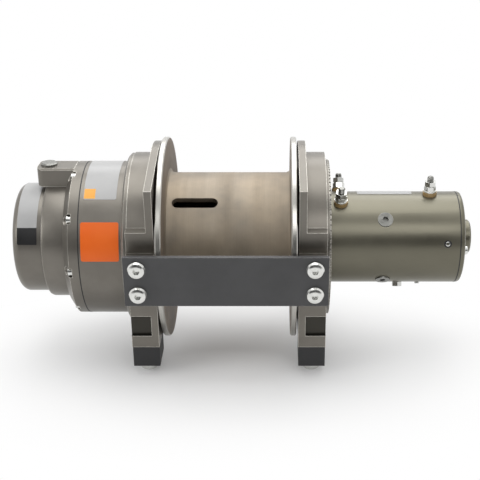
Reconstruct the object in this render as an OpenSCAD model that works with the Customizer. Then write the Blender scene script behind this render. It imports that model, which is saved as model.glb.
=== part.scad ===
// Electric drum hoist: a wound-field motor drives a three-stage planetary gearbox through the drum.
// X runs along the shaft, with the motor at +X and the gearbox at -X. The front is -Y.
// The origin is midway between the four feet, on the plane under their pads.

/* [Drum] */
// Clear width between the two drum flanges
drum_width = 150; // [130:1:180]
// Diameter of the barrel that the rope winds on
barrel_d = 162; // [150:1:180]
// Wall of the barrel
barrel_wall = 9; // [6:0.5:12]
// Height of a flange above the barrel
flange_lip = 44; // [38:1:52]
// Thickness of a flange
flange_t = 7; // [6:0.5:10]
// Length of the slot that the rope end passes through
rope_slot_l = 55; // [30:1:66]
// Width of that slot
rope_slot_w = 13.5; // [8:0.5:15]
// Diameter of the journals that the drum turns on
journal_d = 96; // [92:1:100]
// Length of a journal, from the outer face of its flange
journal_l = 15; // [13:0.5:16]

/* [Supports and feet] */
// Gap between the drum flanges and the plane under the pads
ground_gap = 1; // [0.5:0.5:8]
// Running gap between a flange and its support
drum_gap = 2; // [1:0.1:2.5]
// Depth of a support along the shaft
support_w = 33; // [30:0.5:40]
// Thickness of the thin plate beside the drum
support_plate_t = 9; // [8:0.5:14]
// How far that plate stands above the ring of the support
support_lip = 14; // [8:1:16]
// Web of a support, which carries the drum bushing
web_t = 14; // [13.5:0.5:15]
// Gap between the drum flanges and the flats that carry the tie plates
tie_gap = 1.5; // [1:0.5:5]
// Height above the shaft of the blocks at the front and back of a support
block_top = 52; // [45:1:60]
// Height above the shaft of the shoulder at the front of the thin plate
shoulder_top = 103; // [90:1:110]
// Width of a leg along the shaft
leg_w = 33; // [28:0.5:34]
// Wall of a leg beside its shallow pocket
leg_wall = 8.5; // [6:0.5:11]
// Length of a foot from front to back
foot_l = 44; // [40:1:50]
// Thickness of the base of a foot
foot_base_t = 15.5; // [10:0.5:18]
// Height of the pocket above that base
pocket_h = 26.5; // [18:0.5:30]
// Depth of the pocket behind the face of the leg
pocket_deep = 4; // [2:0.5:10]
// Height of a foot pad
pad_h = 27; // [18:0.5:32]
// Distance between mounting bolts along the shaft
bolt_pitch_x = 201; // [197:1:204]
// Distance between mounting bolts from front to back
bolt_pitch_y = 170; // [164:1:176]
// Diameter of the mounting bolts
mount_bolt_d = 12; // [10:1:12]

/* [Tie plates] */
// Length of a tie plate
tie_l = 236; // [232:1:250]
// Height of a tie plate
tie_h = 62; // [56:1:66]
// Thickness of a tie plate
tie_t = 5.5; // [4:0.5:8]
// Height of the middle of a tie plate above the shaft
tie_rise = 1.5; // [-3:0.5:6]
// Distance between the two screws at one end
tie_screw_pitch = 32; // [25:1:33]
// Distance between the screws along the shaft
tie_screw_span = 204; // [201:1:211]
// Diameter of the tie plate screws
tie_screw_d = 12; // [8:1:12]

/* [Gears] */
// Module of every gear tooth
tooth_module = 2.4; // [2.3:0.05:2.5]
// Pressure angle of the teeth
pressure_angle = 25; // [22:1:26]
// Teeth on each sun gear
sun_teeth = 12; // [12:6:12]
// Teeth on each planet gear
planet_teeth = 24; // [24:6:24]
// Thinning of each tooth flank, for backlash
tooth_thinning = 0.14; // [0.1:0.01:0.2]
// Face width of the first planets
first_face = 12; // [10:0.5:14]
// Face width of the second planets
second_face = 17; // [13:0.5:18]
// Face width of the output planets
output_face = 22; // [18:0.5:24]
// Thickness of the first carrier
first_plate_t = 5; // [4:0.5:7]
// Thickness of the second carrier
second_plate_t = 6; // [5:0.5:8]
// Thickness of the output carrier
output_plate_t = 9; // [7:0.5:12]
// Diameter of a planet pin
planet_pin_d = 14; // [10:1:18]
// Rim of the ring gear outside its tooth roots
ring_rim = 9; // [7:0.5:11]

/* [Gearbox shells] */
// Length of the collar of the gear side support, which the gear housing stands on
collar_l = 6.5; // [4:0.5:8]
// Wall of the gear housing
housing_wall = 11; // [9.5:0.5:13]
// How deep the ring gear sits in the gear cover
ring_in_cover = 5; // [4:0.5:7]
// Width of the rim of the gear cover
cover_flange_w = 12.1; // [11:0.1:15]
// Length of the bevel on that rim
cover_cone_l = 8; // [6:0.5:10]
// Height of that bevel
cover_cone_h = 12; // [9:0.5:14]
// Diameter of the body of the gear cover
cover_body_d = 148; // [143:1:153]
// Length of the body of the gear cover
cover_body_l = 29.2; // [26:0.1:34]
// Wall of the gear cover
cover_wall = 6; // [5:0.5:7]
// Diameter of the end cap
cap_d = 135; // [128:1:138]
// Length of the end cap
cap_l = 36.1; // [30:0.1:42]
// Wall of the end cap
cap_wall = 5; // [3.5:0.5:6]
// Rounding of the end cap
cap_round = 10; // [6:0.5:12]
// Diameter of the long screws through the housing
cover_screw_d = 6; // [5:0.5:6]
// Number of the long screws
cover_screws_n = 9; // [6:1:9]

/* [Oil filler] */
// Width of the filler block from front to back
filler_w = 34; // [26:1:36]
// How far the filler block runs over the end cap
filler_over = 9; // [8:0.5:14]
// Diameter of the head of the filler plug
plug_head_d = 20; // [18:0.5:24]

/* [Drive shaft and brake] */
// Width of the hexagonal shaft across its flats
shaft_af = 14; // [12:0.5:14]
// Thickness of the reaction plate of the brake
reaction_t = 4; // [3:0.5:5]
// Thickness of the friction disc
friction_t = 4; // [3:0.5:5]
// Thickness of the pressure plate
pressure_t = 6; // [5:0.5:8]
// Travel of the pressure plate when the brake lets go
brake_travel = 0.5; // [0.3:0.1:0.7]

/* [Motor] */
// Diameter of the motor can
motor_d = 114; // [110:1:118]
// Length of the motor can
motor_l = 158.5; // [148:1:170]
// Wall of the motor can
motor_wall = 5; // [4:0.5:6]
// Thickness of the adapter plate
adapter_t = 5.5; // [5:0.5:9]
// Diameter of the adapter plate
adapter_d = 194; // [186:1:200]
// Thickness of the motor end cap
end_cap_t = 6; // [5:0.5:12]
// Diameter of the bearing boss on that cap
end_boss_d = 43; // [38:1:48]
// Length of that boss
end_boss_l = 13; // [8:0.5:15]
// Diameter of the armature core
armature_d = 66; // [60:1:70]
// Air gap between the armature and the pole shoes
air_gap = 1; // [0.8:0.1:1.5]
// Length of the armature core
armature_l = 72; // [66:1:78]
// Slots in the armature core
armature_slots = 16; // [12:1:18]
// Diameter of the commutator
commutator_d = 40; // [34:1:44]
// Diameter of the terminal studs
stud_d = 8; // [6:0.5:8]
// Height of a terminal stud above the can
stud_h = 24; // [22:0.5:30]
// Angle of the first pole above the front
pole_angle = 45; // [38:1:52]

/* [Clearances] */
// Radial clearance of every running fit
running = 0.05; // [0.02:0.01:0.08]
// Gap between faces that turn past each other
face_gap = 0.3; // [0.2:0.05:0.5]
// Gap between one gear stage and the next
stage_gap = 1.5; // [1:0.1:2]
// Clearance round bolts and screws in plain holes
bolt_clear = 0.3; // [0.1:0.1:0.4]

/* [Hidden] */
$fn = 96;
// Overrun of a cut past the face that it opens
cut = 1;

gunmetal = "#67635a";
dark_plate = "#4c4d4f";
steel = "#b9bab8";
drum_grey = "#8d867b";
black = "#2b2b2c";
bronze = "#a9814a";
copper = "#b06a3b";

// Radii of the drum
barrel_r = barrel_d / 2;
flange_r = barrel_r + flange_lip;
journal_r = journal_d / 2;
journal_bore_r = 38;
bushing_t = 4;
bushing_r = journal_r + bushing_t;
seal_w = 4;
seal_t = 8;
weld_fillet = 5;
axis_h = ground_gap + flange_r;

// Stations along the shaft on the motor side
flange_out = drum_width / 2 + flange_t;
support_in = flange_out + drum_gap;
web_out = support_in + web_t;
support_out = support_in + support_w;
adapter_out = support_out + adapter_t;
can_end = adapter_out + motor_l;
motor_r = motor_d / 2;
can_in_r = motor_r - motor_wall;

// Gears: every stage has the same teeth, so one ring gear serves all three
ring_teeth = sun_teeth + 2 * planet_teeth;
planet_orbit = tooth_module * (sun_teeth + planet_teeth) / 2;
addendum = tooth_module;
dedendum = 1.25 * tooth_module;
ring_tip_r = tooth_module * ring_teeth / 2 - 0.95 * addendum;
ring_root_r = tooth_module * ring_teeth / 2 + dedendum;
ring_out_r = ring_root_r + ring_rim;
housing_r = ring_out_r + housing_wall;
support_rim = 22.3;
collar_bevel = 2.5;
support_r = ring_out_r + support_rim;
carrier_r = planet_orbit + planet_pin_d / 2 + 7;
pin_head_t = 1.2;
pin_head_r = planet_pin_d / 2 + 3;
shaft_hole_r = shaft_af / sqrt(3) + 0.8;
sun_hub_r = tooth_module * sun_teeth / 2 - dedendum + 0.2;

// Stations of the gear stages, counted from the output carrier out to the end cap
plates = [output_plate_t, second_plate_t, first_plate_t];
faces = [output_face, second_face, first_face];
function stage_l(i) = plates[i] + 2 * face_gap + faces[i] + pin_head_t + stage_gap;
output_x = -(web_out + stage_gap);
second_x = output_x - stage_l(0);
first_x = second_x - stage_l(1);
ring_end_x = first_x - stage_l(2);
plate_x = [output_x, second_x, first_x];
ring_l = -web_out - ring_end_x;
housing_in_x = -support_out - collar_l;
housing_out_x = ring_end_x + ring_in_cover;
flange_out_x = housing_out_x - cover_flange_w;
cone_out_x = flange_out_x - cover_cone_l;
body_out_x = cone_out_x - cover_body_l;
end_x = body_out_x - cap_l;
cover_in_r = cover_body_d / 2 - cover_wall;
cover_wall_x = body_out_x + cover_wall;
cap_in_r = cap_d / 2 - cap_wall;
cover_screw_ring = ring_out_r + housing_wall / 2;
first_screw_angle = 23.5;

// Brake, between the gears and the end wall of the cover
reaction_x = ring_end_x - reaction_t;
friction_x = reaction_x - friction_t;
pressure_x = friction_x - pressure_t;
magnet_in_x = pressure_x - brake_travel - 0.1;

// Frame: the flat front of a support stands just outside its ring, and the tie plates stand further out
frame_y = flange_r + tie_gap;
front_y = support_r + 0.7;
plate_r = support_r + support_lip;
leg_in = front_y - foot_l;
foot_z = pad_h - axis_h;
boss_edge = 9;
boss_top = tie_rise + tie_screw_pitch / 2 + boss_edge;
boss_low = tie_rise - tie_screw_pitch / 2 - boss_edge;
tie_screw_r = tie_screw_d / 2;
tie_screw_depth = 20;

// Motor inner parts
armature_r = armature_d / 2;
drive_end_space = 31.25;
armature_x = adapter_out + drive_end_space;
pole_in_r = armature_r + air_gap;
commutator_x = armature_x + armature_l + 8;
commutator_l = 22;
motor_journal_r = 8;
motor_bush_r = 12;
drive_wall_t = 8;

// Local x is world Y, local y is world Z and local z is world X, with the shaft at the origin
module along_x(x = 0) {
    translate([x, 0, axis_h]) rotate([90, 0, 90]) children();
}

// Place at a radius and an angle, which is measured from the back and over the top
module polar(r, angle) {
    rotate(angle) translate([r, 0, 0]) children();
}

module ring(x, l, outer, inner) {
    along_x(x) difference() {
        cylinder(h = l, r = outer);
        translate([0, 0, -cut]) cylinder(h = l + 2 * cut, r = inner);
    }
}

module hex_bar(l, across) {
    cylinder(h = l, r = across / sqrt(3), $fn = 6);
}

// Involute angle in degrees
function inv(a) = tan(a) * 180 / PI - a;

// Half the angle that a tooth covers at radius p; thin is taken off each flank at the pitch circle
function half_tooth(z, p, thin) =
    let (pitch_r = tooth_module * z / 2, base_r = pitch_r * cos(pressure_angle))
    90 / z + inv(pressure_angle) - inv(acos(min(1, base_r / p))) - thin / pitch_r * 180 / PI;

// Outline of a gear with z teeth between two radii
function gear_outline(z, root, tip, thin) =
    let (
        base_r = tooth_module * z / 2 * cos(pressure_angle),
        low = max(root, base_r + 0.01),
        n = 4,
        radii = [for (i = [0 : n]) low + (tip - low) * i / n]
    )
    [
        for (k = [0 : z - 1])
            let (mid = k * 360 / z, foot = half_tooth(z, low, thin))
            each concat(
                root < low ? [root * [cos(mid - foot), sin(mid - foot)]] : [],
                [for (p = radii) let (a = mid - half_tooth(z, p, thin)) p * [cos(a), sin(a)]],
                [for (i = [n : -1 : 0])
                    let (a = mid + half_tooth(z, radii[i], thin)) radii[i] * [cos(a), sin(a)]],
                root < low ? [root * [cos(mid + foot), sin(mid + foot)]] : []
            )
    ];

module spur_gear(z, width) {
    pitch_r = tooth_module * z / 2;
    linear_extrude(width)
        polygon(gear_outline(z, pitch_r - dedendum, pitch_r + 0.95 * addendum, tooth_thinning));
}

// Straight-sided spline, for the output carrier in the drum
spline_n = 12;
function spline_outline(r, depth, grow) = [
    for (k = [0 : spline_n - 1])
        for (side = [[r - depth + grow, -10], [r + grow, -7], [r + grow, 7], [r - depth + grow, 10]])
            side[0] * [cos(k * 30 + side[1]), sin(k * 30 + side[1])]
];

// Screw with a round head and a hexagonal socket, head upwards from z = 0
module button_screw(d, l, head_d, head_h) {
    difference() {
        union() {
            translate([0, 0, -l]) cylinder(h = l, r = d / 2);
            cylinder(h = head_h * 0.45, r = head_d / 2);
            translate([0, 0, head_h * 0.45])
                rotate_extrude() polygon([
                    [0, 0], [head_d / 2, 0], [head_d * 0.43, head_h * 0.35],
                    [head_d * 0.3, head_h * 0.55], [0, head_h * 0.55],
                ]);
        }
        translate([0, 0, head_h * 0.35]) hex_bar(head_h, d * 0.6);
    }
}

module drum_barrel() {
    color(drum_grey) along_x() difference() {
        rotate_extrude() difference() {
            polygon([
                [barrel_r - barrel_wall, -drum_width / 2],
                [barrel_r + weld_fillet, -drum_width / 2],
                [barrel_r + weld_fillet * 0.3, -drum_width / 2 + weld_fillet * 0.3],
                [barrel_r, -drum_width / 2 + weld_fillet],
                [barrel_r, drum_width / 2 - weld_fillet],
                [barrel_r + weld_fillet * 0.3, drum_width / 2 - weld_fillet * 0.3],
                [barrel_r + weld_fillet, drum_width / 2],
                [barrel_r - barrel_wall, drum_width / 2],
            ]);
        }
        rope_slot();
    }
}

// The slot lies near the gear side flange, high on the front of the barrel
slot_angle = 126.2;
slot_inset = 7.7;
module rope_slot() {
    straight = rope_slot_l - rope_slot_w;
    rotate(slot_angle)
        translate([barrel_r - barrel_wall - cut, 0, -drum_width / 2 + slot_inset + rope_slot_w / 2]) {
            for (end = [0, straight])
                translate([0, 0, end])
                    rotate([0, 90, 0]) cylinder(h = barrel_wall + 2 * cut, r = rope_slot_w / 2);
            translate([0, -rope_slot_w / 2, 0]) cube([barrel_wall + 2 * cut, rope_slot_w, straight]);
        }
}

// A flange with its journal, drawn for the motor side
module flange_blank() {
    edge = 1.2;
    rotate_extrude() polygon([
        [journal_bore_r, 0], [flange_r - edge, 0], [flange_r, edge], [flange_r, flange_t - edge],
        [flange_r - edge, flange_t], [journal_r - running, flange_t],
        [journal_r - running, flange_t + journal_l - 1], [journal_r - running - 1, flange_t + journal_l],
        [journal_bore_r, flange_t + journal_l],
    ]);
}

module gear_side_flange() {
    color(steel) along_x(-drum_width / 2) difference() {
        mirror([0, 0, 1]) flange_blank();
        translate([0, 0, -flange_t - journal_l - cut])
            linear_extrude(flange_t + journal_l + 2 * cut) polygon(spline_outline(journal_bore_r + 3, 3, 0));
    }
}

module motor_side_flange() {
    color(steel) along_x(drum_width / 2) flange_blank();
}

// Children as drawn for the motor side, and mirrored for the gear side
module both_ends() {
    children();
    mirror([1, 0, 0]) children();
}

module drum_bushings() {
    color(bronze) both_ends() ring(support_in + seal_w, web_t - seal_w, bushing_r, journal_r);
}

module drum_seals() {
    color(black) both_ends() ring(support_in, seal_w, journal_r + seal_t, journal_r + face_gap);
}

// Front and back blocks of a support, between two heights measured from the shaft
module blocks_outline(low, high) {
    for (side = [-1, 1])
        scale([side, 1]) translate([leg_in, low]) square([front_y - leg_in, high - low]);
}

// Thin plate beside the drum: round, flat at front and back, with a shoulder at the front
module plate_outline() {
    intersection() {
        hull() {
            circle(r = plate_r);
            translate([-front_y, 0]) square([cut, shoulder_top]);
        }
        translate([-front_y, foot_z]) square([2 * front_y, plate_r - foot_z]);
    }
    blocks_outline(foot_z, block_top);
}

// A support without its bores, drawn for the motor side from its inner face out
module support_blank() {
    difference() {
        union() {
            linear_extrude(support_plate_t) plate_outline();
            linear_extrude(leg_w) blocks_outline(foot_z, block_top);
            linear_extrude(support_w) {
                circle(r = support_r);
                blocks_outline(boss_low, block_top);
                // Bosses behind the ends of the tie plates
                for (side = [-1, 1])
                    scale([side, 1]) translate([leg_in, boss_low])
                        square([frame_y - leg_in, boss_top - boss_low]);
            }
        }
        // Pockets above the feet, open to the front or back and to the outer side
        for (side = [-1, 1])
            scale([side, 1, 1])
                translate([front_y - pocket_deep, foot_z + foot_base_t, leg_wall])
                    cube([pocket_deep + cut, pocket_h, support_w]);
        // Threaded holes for the mounting bolts
        for (side = [-1, 1])
            translate([side * bolt_pitch_y / 2, foot_z - cut, bolt_pitch_x / 2 - support_in])
                rotate([-90, 0, 0]) cylinder(h = foot_base_t + 2 * cut, r = mount_bolt_d / 2);
        // Threaded holes for the tie plates
        for (side = [-1, 1])
            for (row = [-1, 1])
                translate([
                    side * (frame_y - tie_screw_depth), tie_rise + row * tie_screw_pitch / 2,
                    tie_screw_span / 2 - support_in,
                ])
                    rotate([0, side * 90, 0]) cylinder(h = tie_screw_depth + cut, r = tie_screw_r);
        // Seats of the seal and the bushing
        translate([0, 0, -cut]) cylinder(h = seal_w + cut, r = journal_r + seal_t);
        cylinder(h = web_t + cut, r = bushing_r);
    }
}

module gear_side_support() {
    collar_r = support_r - 1;
    color(gunmetal) along_x(-support_in) mirror([0, 0, 1]) difference() {
        union() {
            support_blank();
            translate([0, 0, support_w]) difference() {
                rotate_extrude() polygon([
                    [ring_out_r, -cut], [collar_r, -cut], [collar_r, collar_l - collar_bevel],
                    [collar_r - collar_bevel, collar_l], [ring_out_r, collar_l],
                ]);
                translate([0, 0, -2 * cut]) cylinder(h = collar_l + 4 * cut, r = ring_out_r);
            }
        }
        translate([0, 0, web_t]) cylinder(h = support_w + collar_l, r = ring_out_r);
        for (k = [0 : cover_screws_n - 1])
            polar(cover_screw_ring, first_screw_angle + k * 360 / cover_screws_n)
                translate([0, 0, support_w - cover_thread_l])
                    cylinder(h = cover_thread_l + collar_l + cut, r = cover_screw_d / 2);
    }
}
cover_thread_l = 16;

// Screws that hold the adapter plate on the motor side support
adapter_screws_n = 6;
adapter_screw_ring = 78;
adapter_screw_d = 8;
adapter_thread_l = 14;
spigot_r = 62;
spigot_l = 4;
module motor_side_support() {
    color(gunmetal) along_x(support_in) difference() {
        support_blank();
        translate([0, 0, web_t]) cylinder(h = support_w, r = spigot_r);
        for (k = [0 : adapter_screws_n - 1])
            polar(adapter_screw_ring, 30 + k * 360 / adapter_screws_n)
                translate([0, 0, support_w - adapter_thread_l])
                    cylinder(h = adapter_thread_l + cut, r = adapter_screw_d / 2);
    }
}

module front_tie_plate() {
    color(dark_plate) translate([0, 0, axis_h]) difference() {
        translate([-tie_l / 2, -frame_y - tie_t, tie_rise - tie_h / 2]) cube([tie_l, tie_t, tie_h]);
        for (x = [-1, 1])
            for (row = [-1, 1])
                translate([x * tie_screw_span / 2, -frame_y + cut, tie_rise + row * tie_screw_pitch / 2])
                    rotate([90, 0, 0]) cylinder(h = tie_t + 2 * cut, r = tie_screw_r + bolt_clear);
    }
}

module rear_tie_plate() {
    mirror([0, 1, 0]) front_tie_plate();
}

tie_head_d = 1.75 * tie_screw_d;
tie_head_h = 6.6;
module tie_plate_screws() {
    color(steel) translate([0, 0, axis_h])
        for (side = [-1, 1])
            for (x = [-1, 1])
                for (row = [-1, 1])
                    translate([
                        x * tie_screw_span / 2, side * (frame_y + tie_t), tie_rise + row * tie_screw_pitch / 2,
                    ])
                        rotate([-side * 90, 0, 0])
                            button_screw(tie_screw_d, tie_t + tie_screw_depth - 1, tie_head_d, tie_head_h);
}

// One child at each of the four mounting bolts, on the plane under the pads
module at_feet() {
    for (x = [-1, 1])
        for (y = [-1, 1])
            translate([x * bolt_pitch_x / 2, y * bolt_pitch_y / 2, 0]) children();
}

pad_inset = 0.3;
module foot_pads() {
    pad_w = leg_w - 2 * pad_inset;
    pad_l = foot_l - 2 * pad_inset;
    color(black) difference() {
        for (x = [-1, 1])
            for (y = [-1, 1])
                translate([x * (support_in + leg_w / 2) - pad_w / 2, y * (leg_in + foot_l / 2) - pad_l / 2, 0])
                    cube([pad_w, pad_l, pad_h]);
        at_feet() translate([0, 0, -cut]) cylinder(h = pad_h + 2 * cut, r = mount_bolt_d / 2 + bolt_clear);
    }
}

// Bolt heads below the pads, each with its washer
mount_washer_t = 2.5;
mount_head_h = 10.5;
module mounting_bolts() {
    head_r = mount_bolt_d * 0.86;
    edge = 1.5;
    color(steel) at_feet() difference() {
        union() {
            cylinder(h = pad_h + foot_base_t, r = mount_bolt_d / 2);
            translate([0, 0, -mount_washer_t]) cylinder(h = mount_washer_t, r = mount_bolt_d);
            translate([0, 0, -mount_washer_t - mount_head_h]) rotate_extrude() polygon([
                [0, 0], [head_r - edge, 0], [head_r, edge], [head_r, mount_head_h], [0, mount_head_h],
            ]);
        }
        translate([0, 0, -mount_washer_t - mount_head_h - cut])
            hex_bar(mount_bolt_d / 2 + cut, mount_bolt_d * 0.8);
    }
}

// Holes for the long screws, through what lies between two stations
module long_screw_holes(x, l) {
    for (k = [0 : cover_screws_n - 1])
        along_x(x - cut) polar(cover_screw_ring, first_screw_angle + k * 360 / cover_screws_n)
            cylinder(h = l + 2 * cut, r = cover_screw_d / 2 + bolt_clear);
}

module gear_housing() {
    color(gunmetal) difference() {
        ring(housing_out_x, housing_in_x - housing_out_x, housing_r, ring_out_r);
        long_screw_holes(housing_out_x, housing_in_x - housing_out_x);
    }
}

module ring_gear() {
    color(steel) along_x(ring_end_x) difference() {
        cylinder(h = ring_l, r = ring_out_r);
        translate([0, 0, -cut]) rotate(180 / ring_teeth) linear_extrude(ring_l + 2 * cut)
            polygon(gear_outline(ring_teeth, ring_tip_r, ring_root_r, -tooth_thinning));
    }
}

// Gear cover: a bolted rim with a bevel, a narrower body and an end wall with the shaft bushing in it
screw_seat = 9;
pocket_r = cover_screw_d * 0.95;
seat_x = housing_out_x - screw_seat;
shaft_bush_r = 11;
module gear_cover() {
    body_r = cover_body_d / 2;
    edge = 4;
    color(gunmetal) difference() {
        along_x() rotate_extrude() polygon([
            [shaft_bush_r, body_out_x], [body_r - edge, body_out_x],
            [body_r - edge * 0.3, body_out_x + edge * 0.3], [body_r, body_out_x + edge],
            [body_r, cone_out_x], [housing_r - cover_cone_h, cone_out_x],
            [housing_r, flange_out_x], [housing_r, housing_out_x],
            [ring_out_r, housing_out_x], [ring_out_r, ring_end_x], [ring_root_r, ring_end_x],
            [ring_root_r, reaction_x], [cover_in_r, reaction_x], [cover_in_r, cover_wall_x],
            [shaft_bush_r, cover_wall_x],
        ]);
        long_screw_holes(seat_x, screw_seat);
        for (k = [0 : cap_screws_n - 1])
            along_x(body_out_x - cut) polar(cap_screw_ring, 45 + k * 360 / cap_screws_n)
                cylinder(h = cover_wall + 2 * cut, r = cap_screw_d / 2);
        screw_pockets(pocket_r);
    }
}

// Pockets that the screw heads seat in, cut into the bevel and the rim and open to the outside
module screw_pockets(r) {
    for (k = [0 : cover_screws_n - 1])
        along_x(cone_out_x - cut) polar(cover_screw_ring, first_screw_angle + k * 360 / cover_screws_n)
            linear_extrude(seat_x - cone_out_x + cut) {
                circle(r = r);
                translate([0, -r]) square([housing_wall, 2 * r]);
            }
}

cover_head_h = 5;
module cover_screws() {
    color(steel)
        for (k = [0 : cover_screws_n - 1])
            along_x(seat_x) polar(cover_screw_ring, first_screw_angle + k * 360 / cover_screws_n) {
                cylinder(h = -support_out + cover_thread_l - 1 - seat_x, r = cover_screw_d / 2);
                translate([0, 0, -cover_head_h]) difference() {
                    cylinder(h = cover_head_h, r = cover_screw_d * 0.85);
                    translate([0, 0, -cut]) hex_bar(3 + cut, cover_screw_d * 0.8);
                }
            }
}

cap_screws_n = 4;
cap_screw_d = 6;
cap_screw_ring = cap_d / 2 - 16;
cap_boss_r = 8;
cap_thread_l = 5;
cap_seat = 8;
cap_head_h = 5;
module end_cap() {
    cap_r = cap_d / 2;
    color(gunmetal) difference() {
        union() {
            along_x() rotate_extrude() difference() {
                union() {
                    translate([0, end_x + cap_round]) square([cap_r, cap_l - cap_round]);
                    translate([0, end_x]) square([cap_r - cap_round, cap_round + cut]);
                    translate([cap_r - cap_round, end_x + cap_round]) circle(r = cap_round);
                }
                translate([-cap_r, end_x + cap_wall + cap_round]) square([cap_r + cap_in_r, cap_l]);
                translate([-cap_r, end_x + cap_wall]) square([cap_r + cap_in_r - cap_round, cap_l]);
                translate([-2 * cap_r, end_x - cut]) square([2 * cap_r, cap_l + 2 * cut]);
            }
            for (k = [0 : cap_screws_n - 1])
                along_x(end_x + cap_wall) polar(cap_screw_ring, 45 + k * 360 / cap_screws_n)
                    cylinder(h = cap_l - cap_wall, r = cap_boss_r);
        }
        for (k = [0 : cap_screws_n - 1])
            along_x(end_x) polar(cap_screw_ring, 45 + k * 360 / cap_screws_n) {
                translate([0, 0, -cut]) cylinder(h = cap_l + 2 * cut, r = cap_screw_d / 2 + bolt_clear);
                translate([0, 0, -cut]) cylinder(h = cap_l - cap_seat, r = cap_screw_d * 0.85 + bolt_clear);
            }
    }
}

module end_cap_screws() {
    color(steel)
        for (k = [0 : cap_screws_n - 1])
            along_x(body_out_x) polar(cap_screw_ring, 45 + k * 360 / cap_screws_n) {
                translate([0, 0, -cap_seat - 1]) cylinder(h = cap_seat + 1 + cap_thread_l, r = cap_screw_d / 2);
                translate([0, 0, -cap_seat - 1 - cap_head_h]) difference() {
                    cylinder(h = cap_head_h, r = cap_screw_d * 0.8);
                    translate([0, 0, -cut]) hex_bar(3 + cut, cap_screw_d * 0.75);
                }
            }
}

// The block stands on the cover body and its bevel, and runs on over the start of the end cap
plug_x = body_out_x + 4;
plug_d = 14;
plug_l = 12;
plug_head_h = 3.4;
filler_gap = 0.5;
filler_lean = 2.2;
module at_filler(x) {
    along_x(x) rotate(90 - filler_lean) children();
}

module filler_block() {
    body_r = cover_body_d / 2;
    block_l = flange_out_x - body_out_x + filler_over;
    corner = 8;
    edge = 2;
    half = filler_w / 2;
    color(gunmetal) difference() {
        at_filler(body_out_x - filler_over) intersection() {
            linear_extrude(block_l) polygon([
                [0, -half], [housing_r - edge, -half], [housing_r, edge - half],
                [housing_r, half - edge], [housing_r - edge, half], [0, half],
            ]);
            // Round corners at the free end
            rotate([0, 90, 0]) linear_extrude(2 * housing_r) union() {
                translate([-corner, -half + corner]) circle(r = corner);
                translate([-corner, half - corner]) circle(r = corner);
                translate([-corner, -half + corner]) square([corner, filler_w - 2 * corner]);
                translate([-block_l, -half]) square([block_l - corner, filler_w]);
            }
        }
        along_x(body_out_x) rotate_extrude() polygon([
            [0, 0], [body_r, 0], [body_r, cone_out_x - body_out_x],
            [housing_r - cover_cone_h, cone_out_x - body_out_x], [housing_r, flange_out_x - body_out_x],
            [housing_r, flange_out_x - body_out_x + cut], [0, flange_out_x - body_out_x + cut],
        ]);
        along_x(body_out_x - filler_over - cut)
            cylinder(h = filler_over + cut, r = max(body_r, cap_d / 2 + filler_gap));
        at_filler(plug_x) translate([housing_r - plug_l - 1, 0, 0])
            rotate([0, 90, 0]) cylinder(h = plug_l + 2, r = plug_d / 2);
        screw_pockets(pocket_r + filler_gap);
    }
}

// Pressed into its hole, with a smooth head
module filler_plug() {
    color(steel) at_filler(plug_x) translate([housing_r, 0, 0]) rotate([0, 90, 0]) {
        rotate_extrude() polygon([
            [0, 0], [plug_head_d / 2, 0], [plug_head_d / 2, 2], [plug_head_d * 0.42, plug_head_h],
            [0, plug_head_h],
        ]);
        translate([0, 0, -plug_l]) cylinder(h = plug_l, r = plug_d / 2);
    }
}

coupling_l = 28;
coupling_x = support_out - spigot_l - 1;
shaft_left_x = body_out_x - 6;
shaft_joint_x = coupling_x - coupling_l / 2;
module drive_shaft() {
    color(steel) {
        along_x(cover_wall_x + 2) hex_bar(shaft_joint_x - cover_wall_x - 2, shaft_af);
        along_x(shaft_left_x) cylinder(h = cover_wall_x + 2 - shaft_left_x, r = shaft_af / 2 - 0.5);
    }
}

module input_sun_gear() {
    left = first_x - first_plate_t - 2 * face_gap - first_face;
    color(steel) along_x(left) difference() {
        spur_gear(sun_teeth, first_face + face_gap);
        translate([0, 0, -cut]) hex_bar(first_face + 2 * cut, shaft_af + 2 * running);
    }
}

// A sun gear whose hub fills the bore of the carrier that drives it
module hubbed_sun(x, plate_t, face_end) {
    color(steel) along_x(x) difference() {
        union() {
            translate([0, 0, -plate_t]) cylinder(h = plate_t + cut, r = sun_hub_r);
            spur_gear(sun_teeth, face_end - x);
        }
        translate([0, 0, -plate_t - cut]) cylinder(h = face_end - x + plate_t + 2 * cut, r = shaft_hole_r);
    }
}

module second_sun_gear() {
    hubbed_sun(first_x, first_plate_t, second_x - second_plate_t - face_gap);
}

module output_sun_gear() {
    hubbed_sun(second_x, second_plate_t, output_x - output_plate_t - face_gap);
}

planet_angles = [90, 210, 330];
module carrier_plate(x, plate_t, bore_r) {
    along_x(x - plate_t) difference() {
        cylinder(h = plate_t, r = carrier_r);
        translate([0, 0, -cut]) cylinder(h = plate_t + 2 * cut, r = bore_r);
        for (a = planet_angles)
            polar(planet_orbit, a)
                translate([0, 0, -cut]) cylinder(h = plate_t + 2 * cut, r = planet_pin_d / 2);
    }
}

module first_carrier() {
    color(steel) carrier_plate(first_x, first_plate_t, sun_hub_r);
}

module second_carrier() {
    color(steel) carrier_plate(second_x, second_plate_t, sun_hub_r);
}

module output_carrier() {
    hub_end = -drum_width / 2 - 2;
    color(steel) difference() {
        union() {
            carrier_plate(output_x, output_plate_t, shaft_hole_r);
            along_x(output_x) linear_extrude(hub_end - output_x)
                polygon(spline_outline(journal_bore_r + 3, 3, -running));
        }
        along_x(output_x - output_plate_t - cut)
            cylinder(h = hub_end - output_x + output_plate_t + 2 * cut, r = shaft_hole_r);
    }
}

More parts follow.
